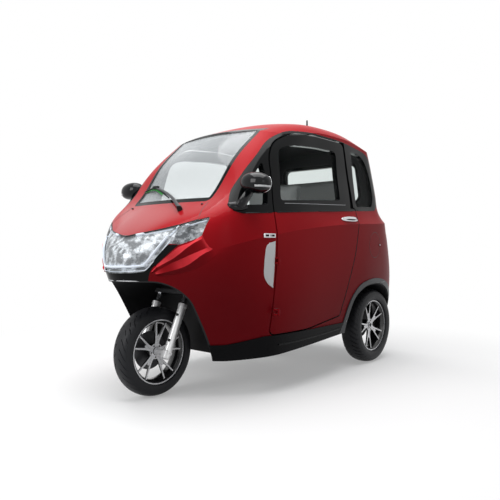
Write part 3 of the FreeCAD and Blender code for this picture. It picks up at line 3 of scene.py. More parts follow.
import logging
import math
from collections.abc import Callable, Iterable, Sequence
from dataclasses import dataclass
from enum import Enum

import bmesh
import bpy
from mathutils import Matrix, Vector
from mathutils.bvhtree import BVHTree
from mathutils.geometry import interpolate_bezier


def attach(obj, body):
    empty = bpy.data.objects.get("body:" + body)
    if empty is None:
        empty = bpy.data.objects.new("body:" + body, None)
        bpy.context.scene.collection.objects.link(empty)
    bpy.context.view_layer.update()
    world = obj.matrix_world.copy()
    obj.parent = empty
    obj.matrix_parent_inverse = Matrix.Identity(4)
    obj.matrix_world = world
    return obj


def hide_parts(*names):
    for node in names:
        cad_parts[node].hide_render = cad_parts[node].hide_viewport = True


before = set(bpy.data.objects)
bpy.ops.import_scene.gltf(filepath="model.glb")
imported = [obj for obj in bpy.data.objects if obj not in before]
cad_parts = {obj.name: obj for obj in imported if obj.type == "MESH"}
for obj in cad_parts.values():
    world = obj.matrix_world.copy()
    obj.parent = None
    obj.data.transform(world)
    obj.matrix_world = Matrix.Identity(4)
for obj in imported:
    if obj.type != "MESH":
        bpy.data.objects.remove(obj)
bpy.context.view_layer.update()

log = logging.getLogger("car")
Colour = tuple[float, float, float]
Place = tuple[float, float, float]
Line = tuple[Place, ...]
Pair = tuple[float, float]

AXLE_STATION = -0.777
REAR_AXLE = 0.703
MILLIMETRES = 1000.0
OUT = Vector((1, 0, 0))
BACK = Vector((0, 1, 0))
UP = Vector((0, 0, 1))


class Side(Enum):
    """The car's sides, as the sign of X."""

    LEFT = 1
    RIGHT = -1

    @property
    def word(self) -> str:
        """The side in names of pieces, nodes and bodies."""
        return self.name.lower()


class Slot(Enum):
    """Material slots of the record that new pieces take their finish from."""

    PAINT = "body_paint"
    BLACK = "black_trim"
    DARK = "dark_trim"
    GLASS = "clear_glass"
    LENS = "lamp_lens"
    TAIL = "tail_lens"
    CHROME = "chrome_handle"
    STEEL = "frame_steel"
    FORK = "fork_silver"
    DISC = "disc_steel"
    RIM = "rim_black"
    TYRE = "tyre_black"
    BATTERY = "battery_case"
    VINYL = "seat_vinyl"
    DASH = "dash_plastic"


def at(place: Place) -> Vector:
    """A point in the row's frame, from millimetres measured at the front axle's station."""
    across, along, up = (part / MILLIMETRES for part in place)
    return Vector((across, along + AXLE_STATION, up))


def mirrored(points: Sequence[Vector]) -> list[Vector]:
    """The points' mirror images on the other side."""
    return [Vector((-point.x, point.y, point.z)) for point in points]


def powered(parts: Iterable[float], power: float) -> list[float]:
    """Numbers raised to a power, with their signs kept."""
    return [math.copysign(abs(part) ** power, part) for part in parts]


def tapered(count: int, first: float, last: float) -> list[float]:
    """Evenly stepped sizes from first to last."""
    return [first - (first - last) * step / (count - 1) for step in range(count)]


def linked(name: str, data: bpy.types.ID) -> bpy.types.Object:
    """Put data into the scene.

    Args:
        name: the object's name.
        data: its mesh, lamp or camera.

    Returns:
        The object.
    """
    made = bpy.data.objects.new(name, data)
    bpy.context.scene.collection.objects.link(made)
    return made


class Field:
    """A value in a material's nodes that Python's operators combine."""

    def __init__(self, bench: "Bench", socket: bpy.types.NodeSocket) -> None:
        """Wrap an output socket of a bench."""
        self.bench = bench
        self.socket = socket

    def joined(self, operation: str, *others: "Field | float") -> "Field":
        """This value and others through one Math node."""
        return self.bench.math(operation, self, *others)

    def __add__(self, other: "Field | float") -> "Field":
        """Sum."""
        return self.joined("ADD", other)

    __radd__ = __add__

    def __sub__(self, other: "Field | float") -> "Field":
        """Difference."""
        return self.joined("SUBTRACT", other)

    def __rsub__(self, other: float) -> "Field":
        """Reflected difference."""
        return self.bench.math("SUBTRACT", other, self)

    def __mul__(self, other: "Field | float") -> "Field":
        """Product."""
        return self.joined("MULTIPLY", other)

    __rmul__ = __mul__

    def __pow__(self, other: float) -> "Field":
        """Power."""
        return self.joined("POWER", other)

    def rise(self, low: float, high: float) -> "Field":
        """A smooth step.

        Args:
            low: the value at which it starts.
            high: the value at which it ends.

        Returns:
            0 below low and 1 above high.
        """
        limits = {"Value": self, "From Min": low, "From Max": high}
        made = self.bench.node("MapRange", limits, interpolation_type="SMOOTHSTEP")
        return Field(self.bench, made.outputs["Result"])


class Bench:
    """The nodes of one material or world."""

    def __init__(self, owner: "bpy.types.Material | bpy.types.World") -> None:
        """Open the owner's nodes.

        Args:
            owner: a new material or world.
        """
        owner.use_nodes = True
        self.tree = owner.node_tree
        self.shader = self.tree.nodes.get("Principled BSDF") or self.tree.nodes["Background"]

    def node(self, kind: str, inputs: dict, **settings: object) -> bpy.types.Node:
        """Add a node.

        Args:
            kind: its type, without the word ShaderNode.
            inputs: values or links of its sockets, by name or number.
            settings: properties set before its sockets.

        Returns:
            The node.
        """
        made = self.tree.nodes.new("ShaderNode" + kind)
        for key, value in settings.items():
            setattr(made, key, value)
        for key, value in inputs.items():
            self.feed(made.inputs[key], value)
        return made

    def feed(self, socket: bpy.types.NodeSocket, value: object) -> None:
        """Link or set one socket.

        Args:
            socket: the input.
            value: a Field, an output socket, a number, or a colour.
        """
        if isinstance(value, Field):
            value = value.socket
        if isinstance(value, bpy.types.NodeSocket):
            self.tree.links.new(value, socket)
        elif isinstance(value, tuple) and len(value) == 3 and len(socket.default_value) == 4:
            socket.default_value = (*value, 1.0)
        else:
            socket.default_value = value

    def math(self, operation: str, *values: "Field | float") -> Field:
        """The value of one Math node over its inputs in order."""
        return Field(self, self.node("Math", dict(enumerate(values)), operation=operation).outputs[0])

    def place(self, source: str = "Object") -> bpy.types.NodeSocket:
        """The point (Object) or the surface's Normal in the row's frame."""
        return self.node("TexCoord", {}).outputs[source]

    def axes(self, source: str = "Object") -> list[Field]:
        """The three parts of the point or the Normal."""
        parts = self.node("SeparateXYZ", {"Vector": self.place(source)})
        return [Field(self, part) for part in parts.outputs]

    def noise(self, scale: float, detail: float = 2.0, stretch: Place = (1.0, 1.0, 1.0)) -> Field:
        """Soft noise in the row's frame.

        Args:
            scale: how fine it is.
            detail: how many finer layers it has.
            stretch: scale along each axis.

        Returns:
            Values round a half.
        """
        mapped = self.node("Mapping", {"Vector": self.place(), "Scale": stretch})
        made = self.node("TexNoise", {"Vector": mapped.outputs[0], "Scale": scale, "Detail": detail})
        return Field(self, made.outputs["Fac"])

    def cells(self, scale: float) -> Field:
        """Distances from the middles of a field of cells."""
        made = self.node("TexVoronoi", {"Vector": self.place(), "Scale": scale})
        return Field(self, made.outputs["Distance"])

    def mix(self, share: Field, one: object, two: object) -> bpy.types.NodeSocket:
        """Two colours mixed by the share of the second."""
        return self.node("Mix", {0: share, 6: one, 7: two}, data_type="RGBA").outputs[2]

    def bump(self, relief: Field, depth: float) -> bpy.types.NodeSocket:
        """A normal from a relief whose 1 stands for a depth in metres."""
        return self.node("Bump", {"Height": relief, "Distance": depth}).outputs[0]

    def seen(self) -> Field:
        """1 for the camera's rays and for those that mirrors and glass send on.

        Returns:
            The share.
        """
        rays = self.node("LightPath", {}).outputs
        camera, glossy, sent_on = (
            Field(self, rays[f"Is {kind} Ray"]) for kind in ("Camera", "Glossy", "Transmission"))
        return camera.joined("MAXIMUM", glossy).joined("MAXIMUM", sent_on)

    def inside(self, centre: Place = (0.0, 0.1, 0.75)) -> Field:
        """1 where a surface faces the cab's middle.

        Args:
            centre: the cab's middle.

        Returns:
            The share.
        """
        parts = [(one - middle) * way for one, middle, way in zip(self.axes(), centre, self.axes("Normal"))]
        return 1.0 - (parts[0] + parts[1] + parts[2]).rise(-0.02, 0.02)

    def shade(self, **inputs: object) -> None:
        """Set the Principled shader's sockets, named with underscores for spaces."""
        for key, value in inputs.items():
            self.feed(self.shader.inputs[key.replace("_", " ")], value)

    def surface(self, share: Field, one: bpy.types.Node, two: bpy.types.Node) -> None:
        """Send a mix of two shaders to the output.

        Args:
            share: how much of the second.
            one: the first shader.
            two: the second shader.
        """
        both = self.node("MixShader", {0: share, 1: one.outputs[0], 2: two.outputs[0]})
        end = next(node for node in self.tree.nodes if node.type.startswith("OUTPUT"))
        self.tree.links.new(both.outputs[0], end.inputs["Surface"])


@dataclass(frozen=True)
class Finish:
    """A plain moulded, painted or cast surface with small variation in tone, gloss and relief."""

    name: str
    slot: Slot
    colour: Colour
    roughness: float = 0.4
    metallic: float = 0.0
    coat: float = 0.0
    grain: float = 900.0
    depth: float = 0.0
    drift: float = 0.12
    smudge: float = 0.08
    ior: float = 1.32

    def material(self) -> bpy.types.Material:
        """This finish's material, made once.

        Returns:
            The material.
        """
        made = bpy.data.materials.get(self.name)
        if made is None:
            made = bpy.data.materials.new(self.name)
            self.mixed(Bench(made))
        return made

    def tone(self, share: float) -> Colour:
        """The colour made darker or paler."""
        return tuple(min(1.0, part * share) for part in self.colour)

    def mixed(self, bench: Bench) -> None:
        """Build the nodes.

        Args:
            bench: the empty material.
        """
        deep, pale = self.tone(1.0 - self.drift), self.tone(1.0 + self.drift)
        bench.shade(
            Base_Color=bench.mix(bench.noise(3.0, 3.0), deep, pale),
            Roughness=bench.noise(9.0, 4.0) * self.smudge + (self.roughness - self.smudge / 2),
            Metallic=self.metallic, IOR=self.ior, Coat_Weight=self.coat, Coat_Roughness=0.03, Coat_IOR=1.3)
        if self.depth > 0:
            bench.shade(Normal=bench.bump(bench.noise(self.grain), self.depth))


@dataclass(frozen=True)
class PearlPaint(Finish):
    """Glossy pearl paint with painted shade: its colour darkens where the body faces down, low on the body
    and towards the rear, and where set it takes a painted highlight on faces that look up.
    """

    # Colour of the painted shade.
    under: Colour = (0.085, 0.003, 0.006)
    lining: Colour = (0.060, 0.062, 0.064)
    fleck: float = 5200.0
    # Painted highlight: its colour, and its share on faces that look up.
    lift: Colour = (0.80, 0.045, 0.060)
    lifted: float = 0.0

    def mixed(self, bench: Bench) -> None:
        """Build the nodes.

        Args:
            bench: the empty material.
        """
        turn, _, up = bench.axes("Normal")
        _, along, low = bench.axes()
        # Painted shade: its share grows on faces that look down, low on the body and, except on faces that
        # look up, towards the rear.
        rear = along.rise(-0.10, 0.75) * (1.0 - up.rise(0.30, 0.60)) * 0.22
        painted_shade_share = (1.0 - up.rise(-0.70, 0.45)) * 0.46 + (1.0 - low.rise(0.20, 0.95)) * 0.36 + rear
        body = bench.mix(painted_shade_share, self.colour, self.under)
        # Painted highlight on faces that look up.
        if self.lifted:
            body = bench.mix(up.rise(0.02, 0.42) * self.lifted, body, self.lift)
        sparkle = bench.cells(self.fleck).rise(0.0, 0.5)
        tinted = bench.mix((1.0 - sparkle) * 0.08, body, self.tone(2.0))
        middle = 1.0 - (turn * turn).rise(0.0, 0.03) * 0.8
        glaze = up.rise(0.20, 0.80) * (1.0 - low.rise(0.98, 1.25) * 0.92) * middle * self.coat + 0.04
        bench.shade(
            Base_Color=bench.mix(bench.inside(), tinted, self.lining),
            Roughness=bench.noise(5.0, 4.0) * 0.05 + self.roughness, Metallic=self.metallic,
            Specular_IOR_Level=0.03, Coat_Weight=glaze, Coat_Roughness=0.02, Coat_IOR=1.34,
            Normal=bench.bump(bench.noise(260.0), 0.00002))


@dataclass(frozen=True)
class Glazing(Finish):
    """A clear or tinted pane: see-through, mixed by a Fresnel-like share with an opaque layer in its own
    colour; on the windscreen that pale layer is a painted reflection.
    """

    tint: Colour = (0.8, 0.86, 0.86)
    # Share of the opaque layer everywhere; on the windscreen it is a painted reflection.
    reflect: float = 0.06
    ripple: float = 0.0
    ripple_scale: float = 90.0

    def mixed(self, bench: Bench) -> None:
        """Build the nodes.

        Args:
            bench: the empty material.
        """
        clear = bench.node("BsdfTransparent", {"Color": self.tint})
        edge = Field(bench, bench.node("LayerWeight", {"Blend": 0.5}).outputs["Facing"])
        # Opaque layer's share, larger at grazing angles; where the colour is pale this is painted reflection.
        share = edge ** 5.0 * 0.55 + bench.noise(2.5, 3.0) * 0.02 + self.reflect
        if self.ripple > 0:
            bench.shade(Normal=bench.bump(bench.noise(self.ripple_scale, 3.0), self.ripple))
        bench.shade(
            Base_Color=self.colour, Roughness=bench.noise(6.0) * 0.04 + self.roughness, Coat_Weight=self.coat)
        bench.surface(share, clear, bench.shader)


@dataclass(frozen=True)
class MachinedRim(Finish):
    """Gloss black alloy whose outward faces are turned bright."""

    bright: Colour = (0.96, 0.96, 0.98)

    def mixed(self, bench: Bench) -> None:
        """Build the nodes.

        Args:
            bench: the empty material.
        """
        outward = (bench.axes("Normal")[0] * bench.axes()[0].joined("SIGN")).rise(0.86, 0.95)
        lines = bench.noise(1800.0, 1.0, (1.0, 1.0, 0.2))
        bench.shade(
            Base_Color=bench.mix(outward, self.colour, self.bright),
            Roughness=outward * 0.05 + bench.noise(12.0, 3.0) * 0.06 + self.roughness,
            Metallic=outward * 0.12, Coat_Weight=self.coat, Normal=bench.bump(lines * outward, 0.00003))


@dataclass(frozen=True)
class Glow(Finish):
    """A light guide that shines softly."""

    power: float = 1.0

    def mixed(self, bench: Bench) -> None:
        """Build the nodes.

        Args:
            bench: the empty material.
        """
        tone = bench.mix(bench.noise(60.0), self.colour, self.tone(0.9))
        bench.shade(
            Base_Color=tone, Roughness=bench.noise(40.0) * 0.1 + self.roughness, Emission_Color=tone,
            Emission_Strength=self.power, Coat_Weight=self.coat)


@dataclass(frozen=True)
class Facets(Finish):
    """A chromed reflector broken into small moulded facets; its bright and dark patches and its soft glow are
    painted reflections.
    """

    fine: float = 70.0

    def mixed(self, bench: Bench) -> None:
        """Build the nodes.

        Args:
            bench: the empty material.
        """
        cloud = bench.noise(24.0, 4.0)
        # Painted reflections: bright and dark patches, and a glow though the reflector gives no light.
        tone = bench.mix(cloud.rise(0.42, 0.60), self.tone(0.30), self.colour)
        bench.shade(
            Base_Color=tone, Roughness=cloud * 0.2 + self.roughness, Metallic=self.metallic,
            Emission_Color=tone, Emission_Strength=0.22,
            Normal=bench.bump(bench.cells(self.fine) + cloud, 0.0016))


@dataclass(frozen=True)
class TailLens(Finish):
    """A lamp lens, amber to the front and ribbed red behind."""

    amber: Colour = (0.80, 0.13, 0.008)
    border: float = 0.855

    def mixed(self, bench: Bench) -> None:
        """Build the nodes.

        Args:
            bench: the empty material.
        """
        _, along, up = bench.axes()
        tone = bench.mix(along.rise(self.border, self.border + 0.012), self.amber, self.colour)
        bench.shade(
            Base_Color=tone, Roughness=bench.noise(30.0) * 0.1 + self.roughness, Coat_Weight=self.coat,
            Emission_Color=tone, Emission_Strength=0.06,
            Normal=bench.bump((up * 420.0).joined("SINE"), 0.0003))


RED = PearlPaint("pearl_red_paint", Slot.PAINT, (0.37, 0.007, 0.012), 0.30, metallic=0.04, coat=0.86)
# Lit copy of the red paint, with a painted highlight on faces that look up.
RIDGE_RED = PearlPaint("pearl_red_ridges", Slot.PAINT, RED.colour, 0.30, metallic=0.04, coat=0.86, lifted=0.9)
GLOSS_BLACK = Finish(
    "gloss_black_plastic", Slot.BLACK, (0.004, 0.0045, 0.005), 0.09, grain=700, depth=0.00002, ior=1.19)
MIRROR_BLACK = Finish("mirror_case_black", Slot.BLACK, (0.004, 0.0045, 0.006), 0.06, grain=500, depth=0.00001)
SILL_BLACK = Finish(
    "sill_black_plastic", Slot.DARK, (0.003, 0.003, 0.004), 0.16, grain=700, depth=0.00003, ior=1.15)
TRIM_LINE = Finish("grey_edge_line", Slot.DARK, (0.30, 0.31, 0.32), 0.30, depth=0.00002)
SATIN_BLACK = Finish("satin_black_plastic", Slot.DARK, (0.010, 0.011, 0.012), 0.36, grain=1500, depth=0.00005)
GREY_TRIM = Finish("dark_grey_trim", Slot.DARK, (0.035, 0.036, 0.040), 0.36, grain=1500, depth=0.00006)
LINER = Finish("wheel_well_liner", Slot.DARK, (0.012, 0.012, 0.013), 0.6, grain=600, depth=0.0002)
MIRROR_GLASS = Finish(
    "mirror_glass", Slot.GLASS, (0.80, 0.81, 0.82), 0.05, metallic=1.0, drift=0.03, smudge=0.03)
PIPING = Finish("seat_piping", Slot.VINYL, (0.55, 0.55, 0.54), 0.45, grain=800, depth=0.0001)
PALE_TRIM = Finish(
    "pale_grey_trim", Slot.DARK, (0.86, 0.87, 0.88), 0.35, grain=1300, depth=0.00008, drift=0.05)
CHROME = Finish(
    "chrome", Slot.CHROME, (0.62, 0.63, 0.65), 0.12, metallic=1.0, grain=500, depth=0.00001, drift=0.04)
SILVER = Finish("satin_silver", Slot.FORK, (0.97, 0.97, 0.98), 0.36, metallic=0.45, grain=800, depth=0.00004)
ALLOY = MachinedRim("machined_black_alloy", Slot.RIM, (0.008, 0.008, 0.009), 0.20, coat=0.3)
DISC = Finish("brushed_disc", Slot.DISC, (0.09, 0.09, 0.095), 0.4, metallic=0.5, grain=1400, depth=0.00004)
RUBBER = Finish("tread_rubber", Slot.TYRE, (0.014, 0.0145, 0.017), 0.50, grain=1300, depth=0.00012, drift=0.2)
CHASSIS = Finish("satin_black_steel", Slot.STEEL, (0.02, 0.02, 0.022), 0.42, grain=500, depth=0.00008)
CASE_GREY = Finish("battery_case_grey", Slot.BATTERY, (0.07, 0.075, 0.08), 0.45, depth=0.0001)
VINYL = Finish("white_vinyl", Slot.VINYL, (0.88, 0.88, 0.87), 0.42, grain=650, depth=0.00025, drift=0.05)
DASH = Finish("grained_dash", Slot.DASH, (0.10, 0.10, 0.105), 0.55, depth=0.0002)
PANE = Glazing("window_pane", Slot.GLASS, (0.02, 0.024, 0.024), 0.02, tint=(0.95, 0.97, 0.965), reflect=0.01)
# Pale colour: a painted reflection that makes the windscreen look milky.
SCREEN = Glazing(
    "windscreen_pane", Slot.GLASS, (0.66, 0.69, 0.71), 0.10, tint=(0.96, 0.97, 0.97), reflect=0.26)
DARK_PANE = Glazing(
    "tinted_pane", Slot.GLASS, (0.01, 0.012, 0.012), 0.02, tint=(0.92, 0.94, 0.935), reflect=0.01)
LENS = Glazing(
    "clear_lens", Slot.LENS, (0.05, 0.05, 0.055), 0.03, tint=(0.93, 0.94, 0.95), reflect=0.04, ripple=0.0006)
LED = Glow("light_guide", Slot.LENS, (0.76, 0.82, 0.90), 0.3, power=0.28)
REFLECTOR = Facets("faceted_reflector", Slot.LENS, (0.88, 0.90, 0.92), 0.22, metallic=0.3)
RED_LENS = TailLens("red_and_amber_lens", Slot.TAIL, (0.42, 0.005, 0.007), 0.14, coat=0.3)
GREEN_FILM = Finish("green_film", Slot.BLACK, (0.06, 0.42, 0.08), 0.35, drift=0.2)

NODE_FINISHES: dict[Finish, str] = {
    RED: "side_frame_{side} hood roof_panel rear_panel door_{side}_panel hinge_pins door_{side}_hinges",
    SCREEN: "windscreen",
    PANE: "rear_window",
    DARK_PANE: "front_quarter_glass rear_quarter_glass door_{side}_glass",
    GLOSS_BLACK: "windscreen_seal rear_window_seal lower_grille front_quarter_trims rear_quarter_trims "
                 "door_{side}_frame mirrors",
    SILL_BLACK: "sills",
    GREY_TRIM: "rear_arch_trims",
    SATIN_BLACK: "rear_bumper wiper aerial handlebar",
    RED_LENS: "tail_lamps",
    REFLECTOR: "headlamp_mask",
    LENS: "headlamp_lens",
    LINER: "front_wheel_well rear_wheel_wells floor_pan",
    DASH: "dashboard",
    CHASSIS: "chassis_frame cross_members steering_head rear_axle rear_suspension",
    CASE_GREY: "battery_pack",
    SILVER: "fork_legs front_axle",
    CHROME: "fork_yoke door_{side}_handle",
    ALLOY: "front_rim rear_rim_{side}",
    DISC: "front_brake_disc",
    RUBBER: "front_tyre rear_tyre_{side}",
    VINYL: "driver_seat rear_bench",
}


def paint_frame() -> None:
    """Put each finish on its CAD nodes."""
    waiting = set(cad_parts)
    for finish, names in NODE_FINISHES.items():
        for name in sorted({word.format(side=side.word) for side in Side for word in names.split()}):
            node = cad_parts.get(name)
            if node is None:
                log.warning("no node %s in this frame", name)
                continue
            node.data.materials.clear()
            node.data.materials.append(finish.material())
            waiting.discard(name)
    if waiting:
        log.warning("nodes without a finish: %s", sorted(waiting))


class Skin:
    """The car's outer surface."""

    def __init__(self, *names: str) -> None:
        """Gather the CAD nodes that make the surface.

        Args:
            names: their names.
        """
        gathered = bmesh.new()
        for name in names:
            gathered.from_mesh(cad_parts[name].data)
        self.tree = BVHTree.FromBMesh(gathered)
        gathered.free()

    def from_side(self, along: float, up: float, lift: float = 0.0) -> Vector:
        """The surface seen straight from the left.

        Args:
            along: the station from the front axle.
            up: the height.
            lift: how far off the surface the point is set.

        Returns:
            The point.
        """
        start = Vector((1.2, along + AXLE_STATION, up))
        found, normal, _, _ = self.tree.ray_cast(start, -OUT)
        if found is None:
            found, normal, _, _ = self.tree.find_nearest(start - OUT * start.length)
        return found + (normal if normal.x >= 0 else -normal) * lift

    def seat(self, along: float, up: float) -> Matrix:
        """A place on the left side whose X axis leaves the surface and whose Y axis runs back along it.

        Args:
            along: the station from the front axle.
            up: the height.

        Returns:
            The placement.
        """
        point = self.from_side(along, up)
        out = self.normal(point).normalized()
        rearward = (BACK - out * out.y).normalized()
        turn = Matrix((out, rearward, out.cross(rearward))).transposed().to_4x4()
        return Matrix.Translation(point) @ turn

    def foot(self, point: Vector) -> tuple[Vector, Vector]:
        """The surface's nearest place to a point, and its outward normal.

        Args:
            point: the point.

        Returns:
            Place and normal.
        """
        found, normal, _, _ = self.tree.find_nearest(point)
        return found, normal if normal.dot(Vector((found.x, found.y, 0.3))) > 0 else -normal

    def near(self, point: Vector, lift: float = 0.0) -> Vector:
        """The surface's nearest place to a point, off it by lift."""
        found, outward = self.foot(point)
        return found + outward * lift

    def normal(self, point: Vector) -> Vector:
        """The outward normal nearest to a point."""
        return self.foot(point)[1]


def eased(points: Sequence[Vector], steps: int = 8) -> list[Vector]:
    """A smooth run through points.

    Args:
        points: the points it goes through.
        steps: how many short runs each gap has.

    Returns:
        The run's points.
    """
    knots = list(points)
    padded = [knots[0] * 2 - knots[1]] + knots + [knots[-1] * 2 - knots[-2]]
    run: list[Vector] = []
    for before, here, there, after in zip(padded[:-3], padded[1:-2], padded[2:-1], padded[3:]):
        out, into = here + (there - before) / 6, there - (after - here) / 6
        run += interpolate_bezier(here, out, into, there, steps + 1)[:-1]
    return run + [knots[-1]]


def course(line: Sequence[Place], steps: int = 8) -> list[Vector]:
    """A smooth run through places given in millimetres."""
    return eased([at(place) for place in line], steps)


def spaced(points: Sequence[Vector], count: int) -> list[Vector]:
    """A run of points set at equal distances.

    Args:
        points: the run.
        count: how many points come back.

    Returns:
        The evenly spaced points.
    """
    totals = [0.0]
    for one, two in zip(points[:-1], points[1:]):
        totals.append(totals[-1] + (two - one).length)
    made = []
    index = 0
    for number in range(count):
        wanted = totals[-1] * number / (count - 1)
        while index < len(totals) - 2 and totals[index + 1] < wanted:
            index += 1
        span = max(totals[index + 1] - totals[index], 1e-9)
        made.append(points[index].lerp(points[index + 1], (wanted - totals[index]) / span))
    return made


def ellipse(wide: float, high: float) -> list[Pair]:
    """Corners of a round or oval section of these radii."""
    turns = [math.tau * step / 12 for step in range(12)]
    return [(wide * math.cos(turn), high * math.sin(turn)) for turn in turns]


def strip_section(wide: float, high: float) -> list[Pair]:
    """Corners of a low strip with rounded upper edges.

    Args:
        wide: its width.
        high: its height over its middle.

    Returns:
        The corners, across and up.
    """
    half = wide / 2
    return [
        (-half, -high), (half, -high), (half, high * 0.4), (half * 0.6, high), (-half * 0.6, high),
        (-half, high * 0.4)]


class Work:
    """One piece in the making: a bmesh that ends as an object riding on a body."""

    def __init__(self, name: str) -> None:
        """Start a piece with the object's name."""
        self.name = name
        self.bm = bmesh.new()

    def box(
        self, low: Vector, high: Vector, round_by: float, segments: int = 3,
        turn: Matrix = Matrix.Identity(4),
    ) -> None:
        """A box between two corners.

        Args:
            low: the low corner.
            high: the high corner.
            round_by: the radius of its rounded edges.
            segments: steps in the rounding.
            turn: a turn about the box's middle.
        """
        place = Matrix.Translation((low + high) / 2) @ turn @ Matrix.Diagonal((*(high - low), 1))
        made = bmesh.ops.create_cube(self.bm, size=1.0, matrix=place)["verts"]
        edges = list({edge for vertex in made for edge in vertex.link_edges})
        bmesh.ops.bevel(
            self.bm, geom=edges, offset=round_by, segments=segments, profile=0.5, affect="EDGES", material=-1)

    def cylinder(self, start: Vector, end: Vector, radius: float, tip: float, segments: int = 32) -> None:
        """A round bar or cone between two points.

        Args:
            start: the middle of one end.
            end: the middle of the other.
            radius: the radius at the start.
            tip: the radius at the end.
            segments: sides.
        """
        way = end - start
        place = Matrix.Translation((start + end) / 2) @ way.to_track_quat("Z", "Y").to_matrix().to_4x4()
        bmesh.ops.create_cone(
            self.bm, cap_ends=True, segments=segments, radius1=radius, radius2=tip, depth=way.length,
            matrix=place)

    def spun(self, outline: Sequence[Pair], centre: Vector, axis: Vector, steps: int) -> None:
        """A shape turned about an axis.

        Args:
            outline: distances along the axis and from it.
            centre: a point on the axis.
            axis: the axis.
            steps: how many steps the turn has.
        """
        out = axis.orthogonal().normalized()
        points = [self.bm.verts.new(centre + axis * along + out * radius) for along, radius in outline]
        edges = [self.bm.edges.new(pair) for pair in zip(points[:-1], points[1:])]
        bmesh.ops.spin(
            self.bm, geom=points + edges, cent=centre, axis=axis, dvec=(0, 0, 0), angle=math.tau, steps=steps,
            use_merge=True, use_duplicate=False)
        bmesh.ops.remove_doubles(self.bm, verts=self.bm.verts, dist=1e-6)
        bmesh.ops.recalc_face_normals(self.bm, faces=self.bm.faces)

    def drawn(
        self, path: Sequence[Vector], section: Sequence[Pair], ups: "Sequence[Vector] | Vector",
        scales: Sequence[float] = (),
    ) -> None:
        """A flat section drawn along a path, closed at both ends.

        Args:
            path: the points that its middle follows.
            section: its corners, across and up.
            ups: the up direction at each point, or one for all.
            scales: a size for each point, where they differ.
        """
        count = len(path)
        rises = [ups] * count if isinstance(ups, Vector) else ups
        seats = []
        for index, size in enumerate(scales or [1.0] * count):
            way = (path[min(index + 1, count - 1)] - path[max(index - 1, 0)]).normalized()
            aside = way.cross(rises[index]).normalized()
            turn = Matrix((aside, aside.cross(way), way)).transposed().to_4x4()
            seats.append(Matrix.Translation(path[index]) @ turn @ Matrix.Scale(size, 4))
        face = self.bm.faces.new([self.bm.verts.new(seats[0] @ Vector((*corner, 0))) for corner in section])
        for before, seat in zip(seats[:-1], seats[1:]):
            grown = bmesh.ops.extrude_face_region(self.bm, geom=[face])["geom"]
            verts = [item for item in grown if isinstance(item, bmesh.types.BMVert)]
            face = next(item for item in grown if isinstance(item, bmesh.types.BMFace))
            bmesh.ops.transform(self.bm, matrix=seat @ before.inverted(), verts=verts)

    def lofted(
        self, rows: Sequence[Sequence[Vector]], columns: int, between: int,
        press: Callable[[Vector, float, float], Vector],
    ) -> None:
        """A sheet through rows of points.

        Args:
            rows: runs of points, each row's ends above the other's.
            columns: how many points each row gets.
            between: how many steps two rows have between them.
            press: moves a point, given its share along and across.
        """
        runs = [spaced(row, columns) for row in rows]
        gaps = len(rows) - 1
        for vertex in bmesh.ops.create_grid(
                self.bm, x_segments=columns - 1, y_segments=gaps * between, size=0.5)["verts"]:
            along, across = vertex.co.x + 0.5, vertex.co.y + 0.5
            column = round(along * (columns - 1))
            low = min(int(across * gaps + 1e-6), gaps - 1)
            point = runs[low][column].lerp(runs[low + 1][column], across * gaps - low)
            vertex.co = press(point, along, across)

    def pebble(
        self, half: Place, centre: Vector, blunt: float = 1.0, rings: int = 24,
    ) -> list[bmesh.types.BMVert]:
        """A ball drawn out to half sizes, and squarer where blunt is under 1.

        Args:
            half: half the spread along X, Y and Z.
            centre: its middle.
            blunt: the power of its outline.
            rings: rings from pole to pole.

        Returns:
            Its vertices.
        """
        ball = bmesh.ops.create_uvsphere(self.bm, u_segments=2 * rings, v_segments=rings, radius=1.0)["verts"]
        for vertex in ball:
            vertex.co = centre + Vector([part * size for part, size in zip(powered(vertex.co, blunt), half)])
        return ball

    def placed(self, seat: Matrix) -> None:
        """Move everything so far by a placement."""
        bmesh.ops.transform(self.bm, matrix=seat, verts=self.bm.verts)

    def finished(
        self, finish: Finish, body: str = "root", replaces: Sequence[str] = (), smooth: float = 35.0,
        side: Side = Side.LEFT, outward: bool = True,
    ) -> bpy.types.Object:
        """Turn the bmesh into an object that rides on a body.

        Args:
            finish: its finish.
            body: the body it rides on.
            replaces: CAD nodes it stands for.
            smooth: edges sharper than this angle stay sharp.
            side: RIGHT mirrors the piece to the other side.
            outward: whether its normals are worked out again.

        Returns:
            The object.
        """
        if side is Side.RIGHT:
            bmesh.ops.scale(self.bm, vec=(-1, 1, 1), verts=self.bm.verts)
            bmesh.ops.reverse_faces(self.bm, faces=self.bm.faces)
        if outward:
            bmesh.ops.recalc_face_normals(self.bm, faces=self.bm.faces)
        mesh = bpy.data.meshes.new(self.name)
        self.bm.to_mesh(mesh)
        self.bm.free()
        made = linked(self.name, mesh)
        mesh.materials.append(finish.material())
        mesh.shade_smooth()
        mesh.set_sharp_from_angle(angle=math.radians(smooth))
        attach(made, body)
        if replaces:
            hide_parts(*replaces)
        log.info("%s rides on %s, %d faces", self.name, body, len(mesh.polygons))
        return made


def both(
    stem: str, finish: Finish, make: Callable[[Work], object], body: str = "root",
    replaces: Sequence[str] = (), **looks: object,
) -> None:
    """One piece on each side of the car, with {side} in names for the side's word.

    Args:
        stem: its name.
        finish: its finish.
        make: fills the left one.
        body: the body it rides on.
        replaces: CAD nodes it stands for.
        looks: further arguments of finished.
    """
    for side in Side:
        work = Work(stem.format(side=side.word))
        make(work)
        nodes = [node.format(side=side.word) for node in replaces]
        work.finished(finish, body.format(side=side.word), nodes, side=side, **looks)


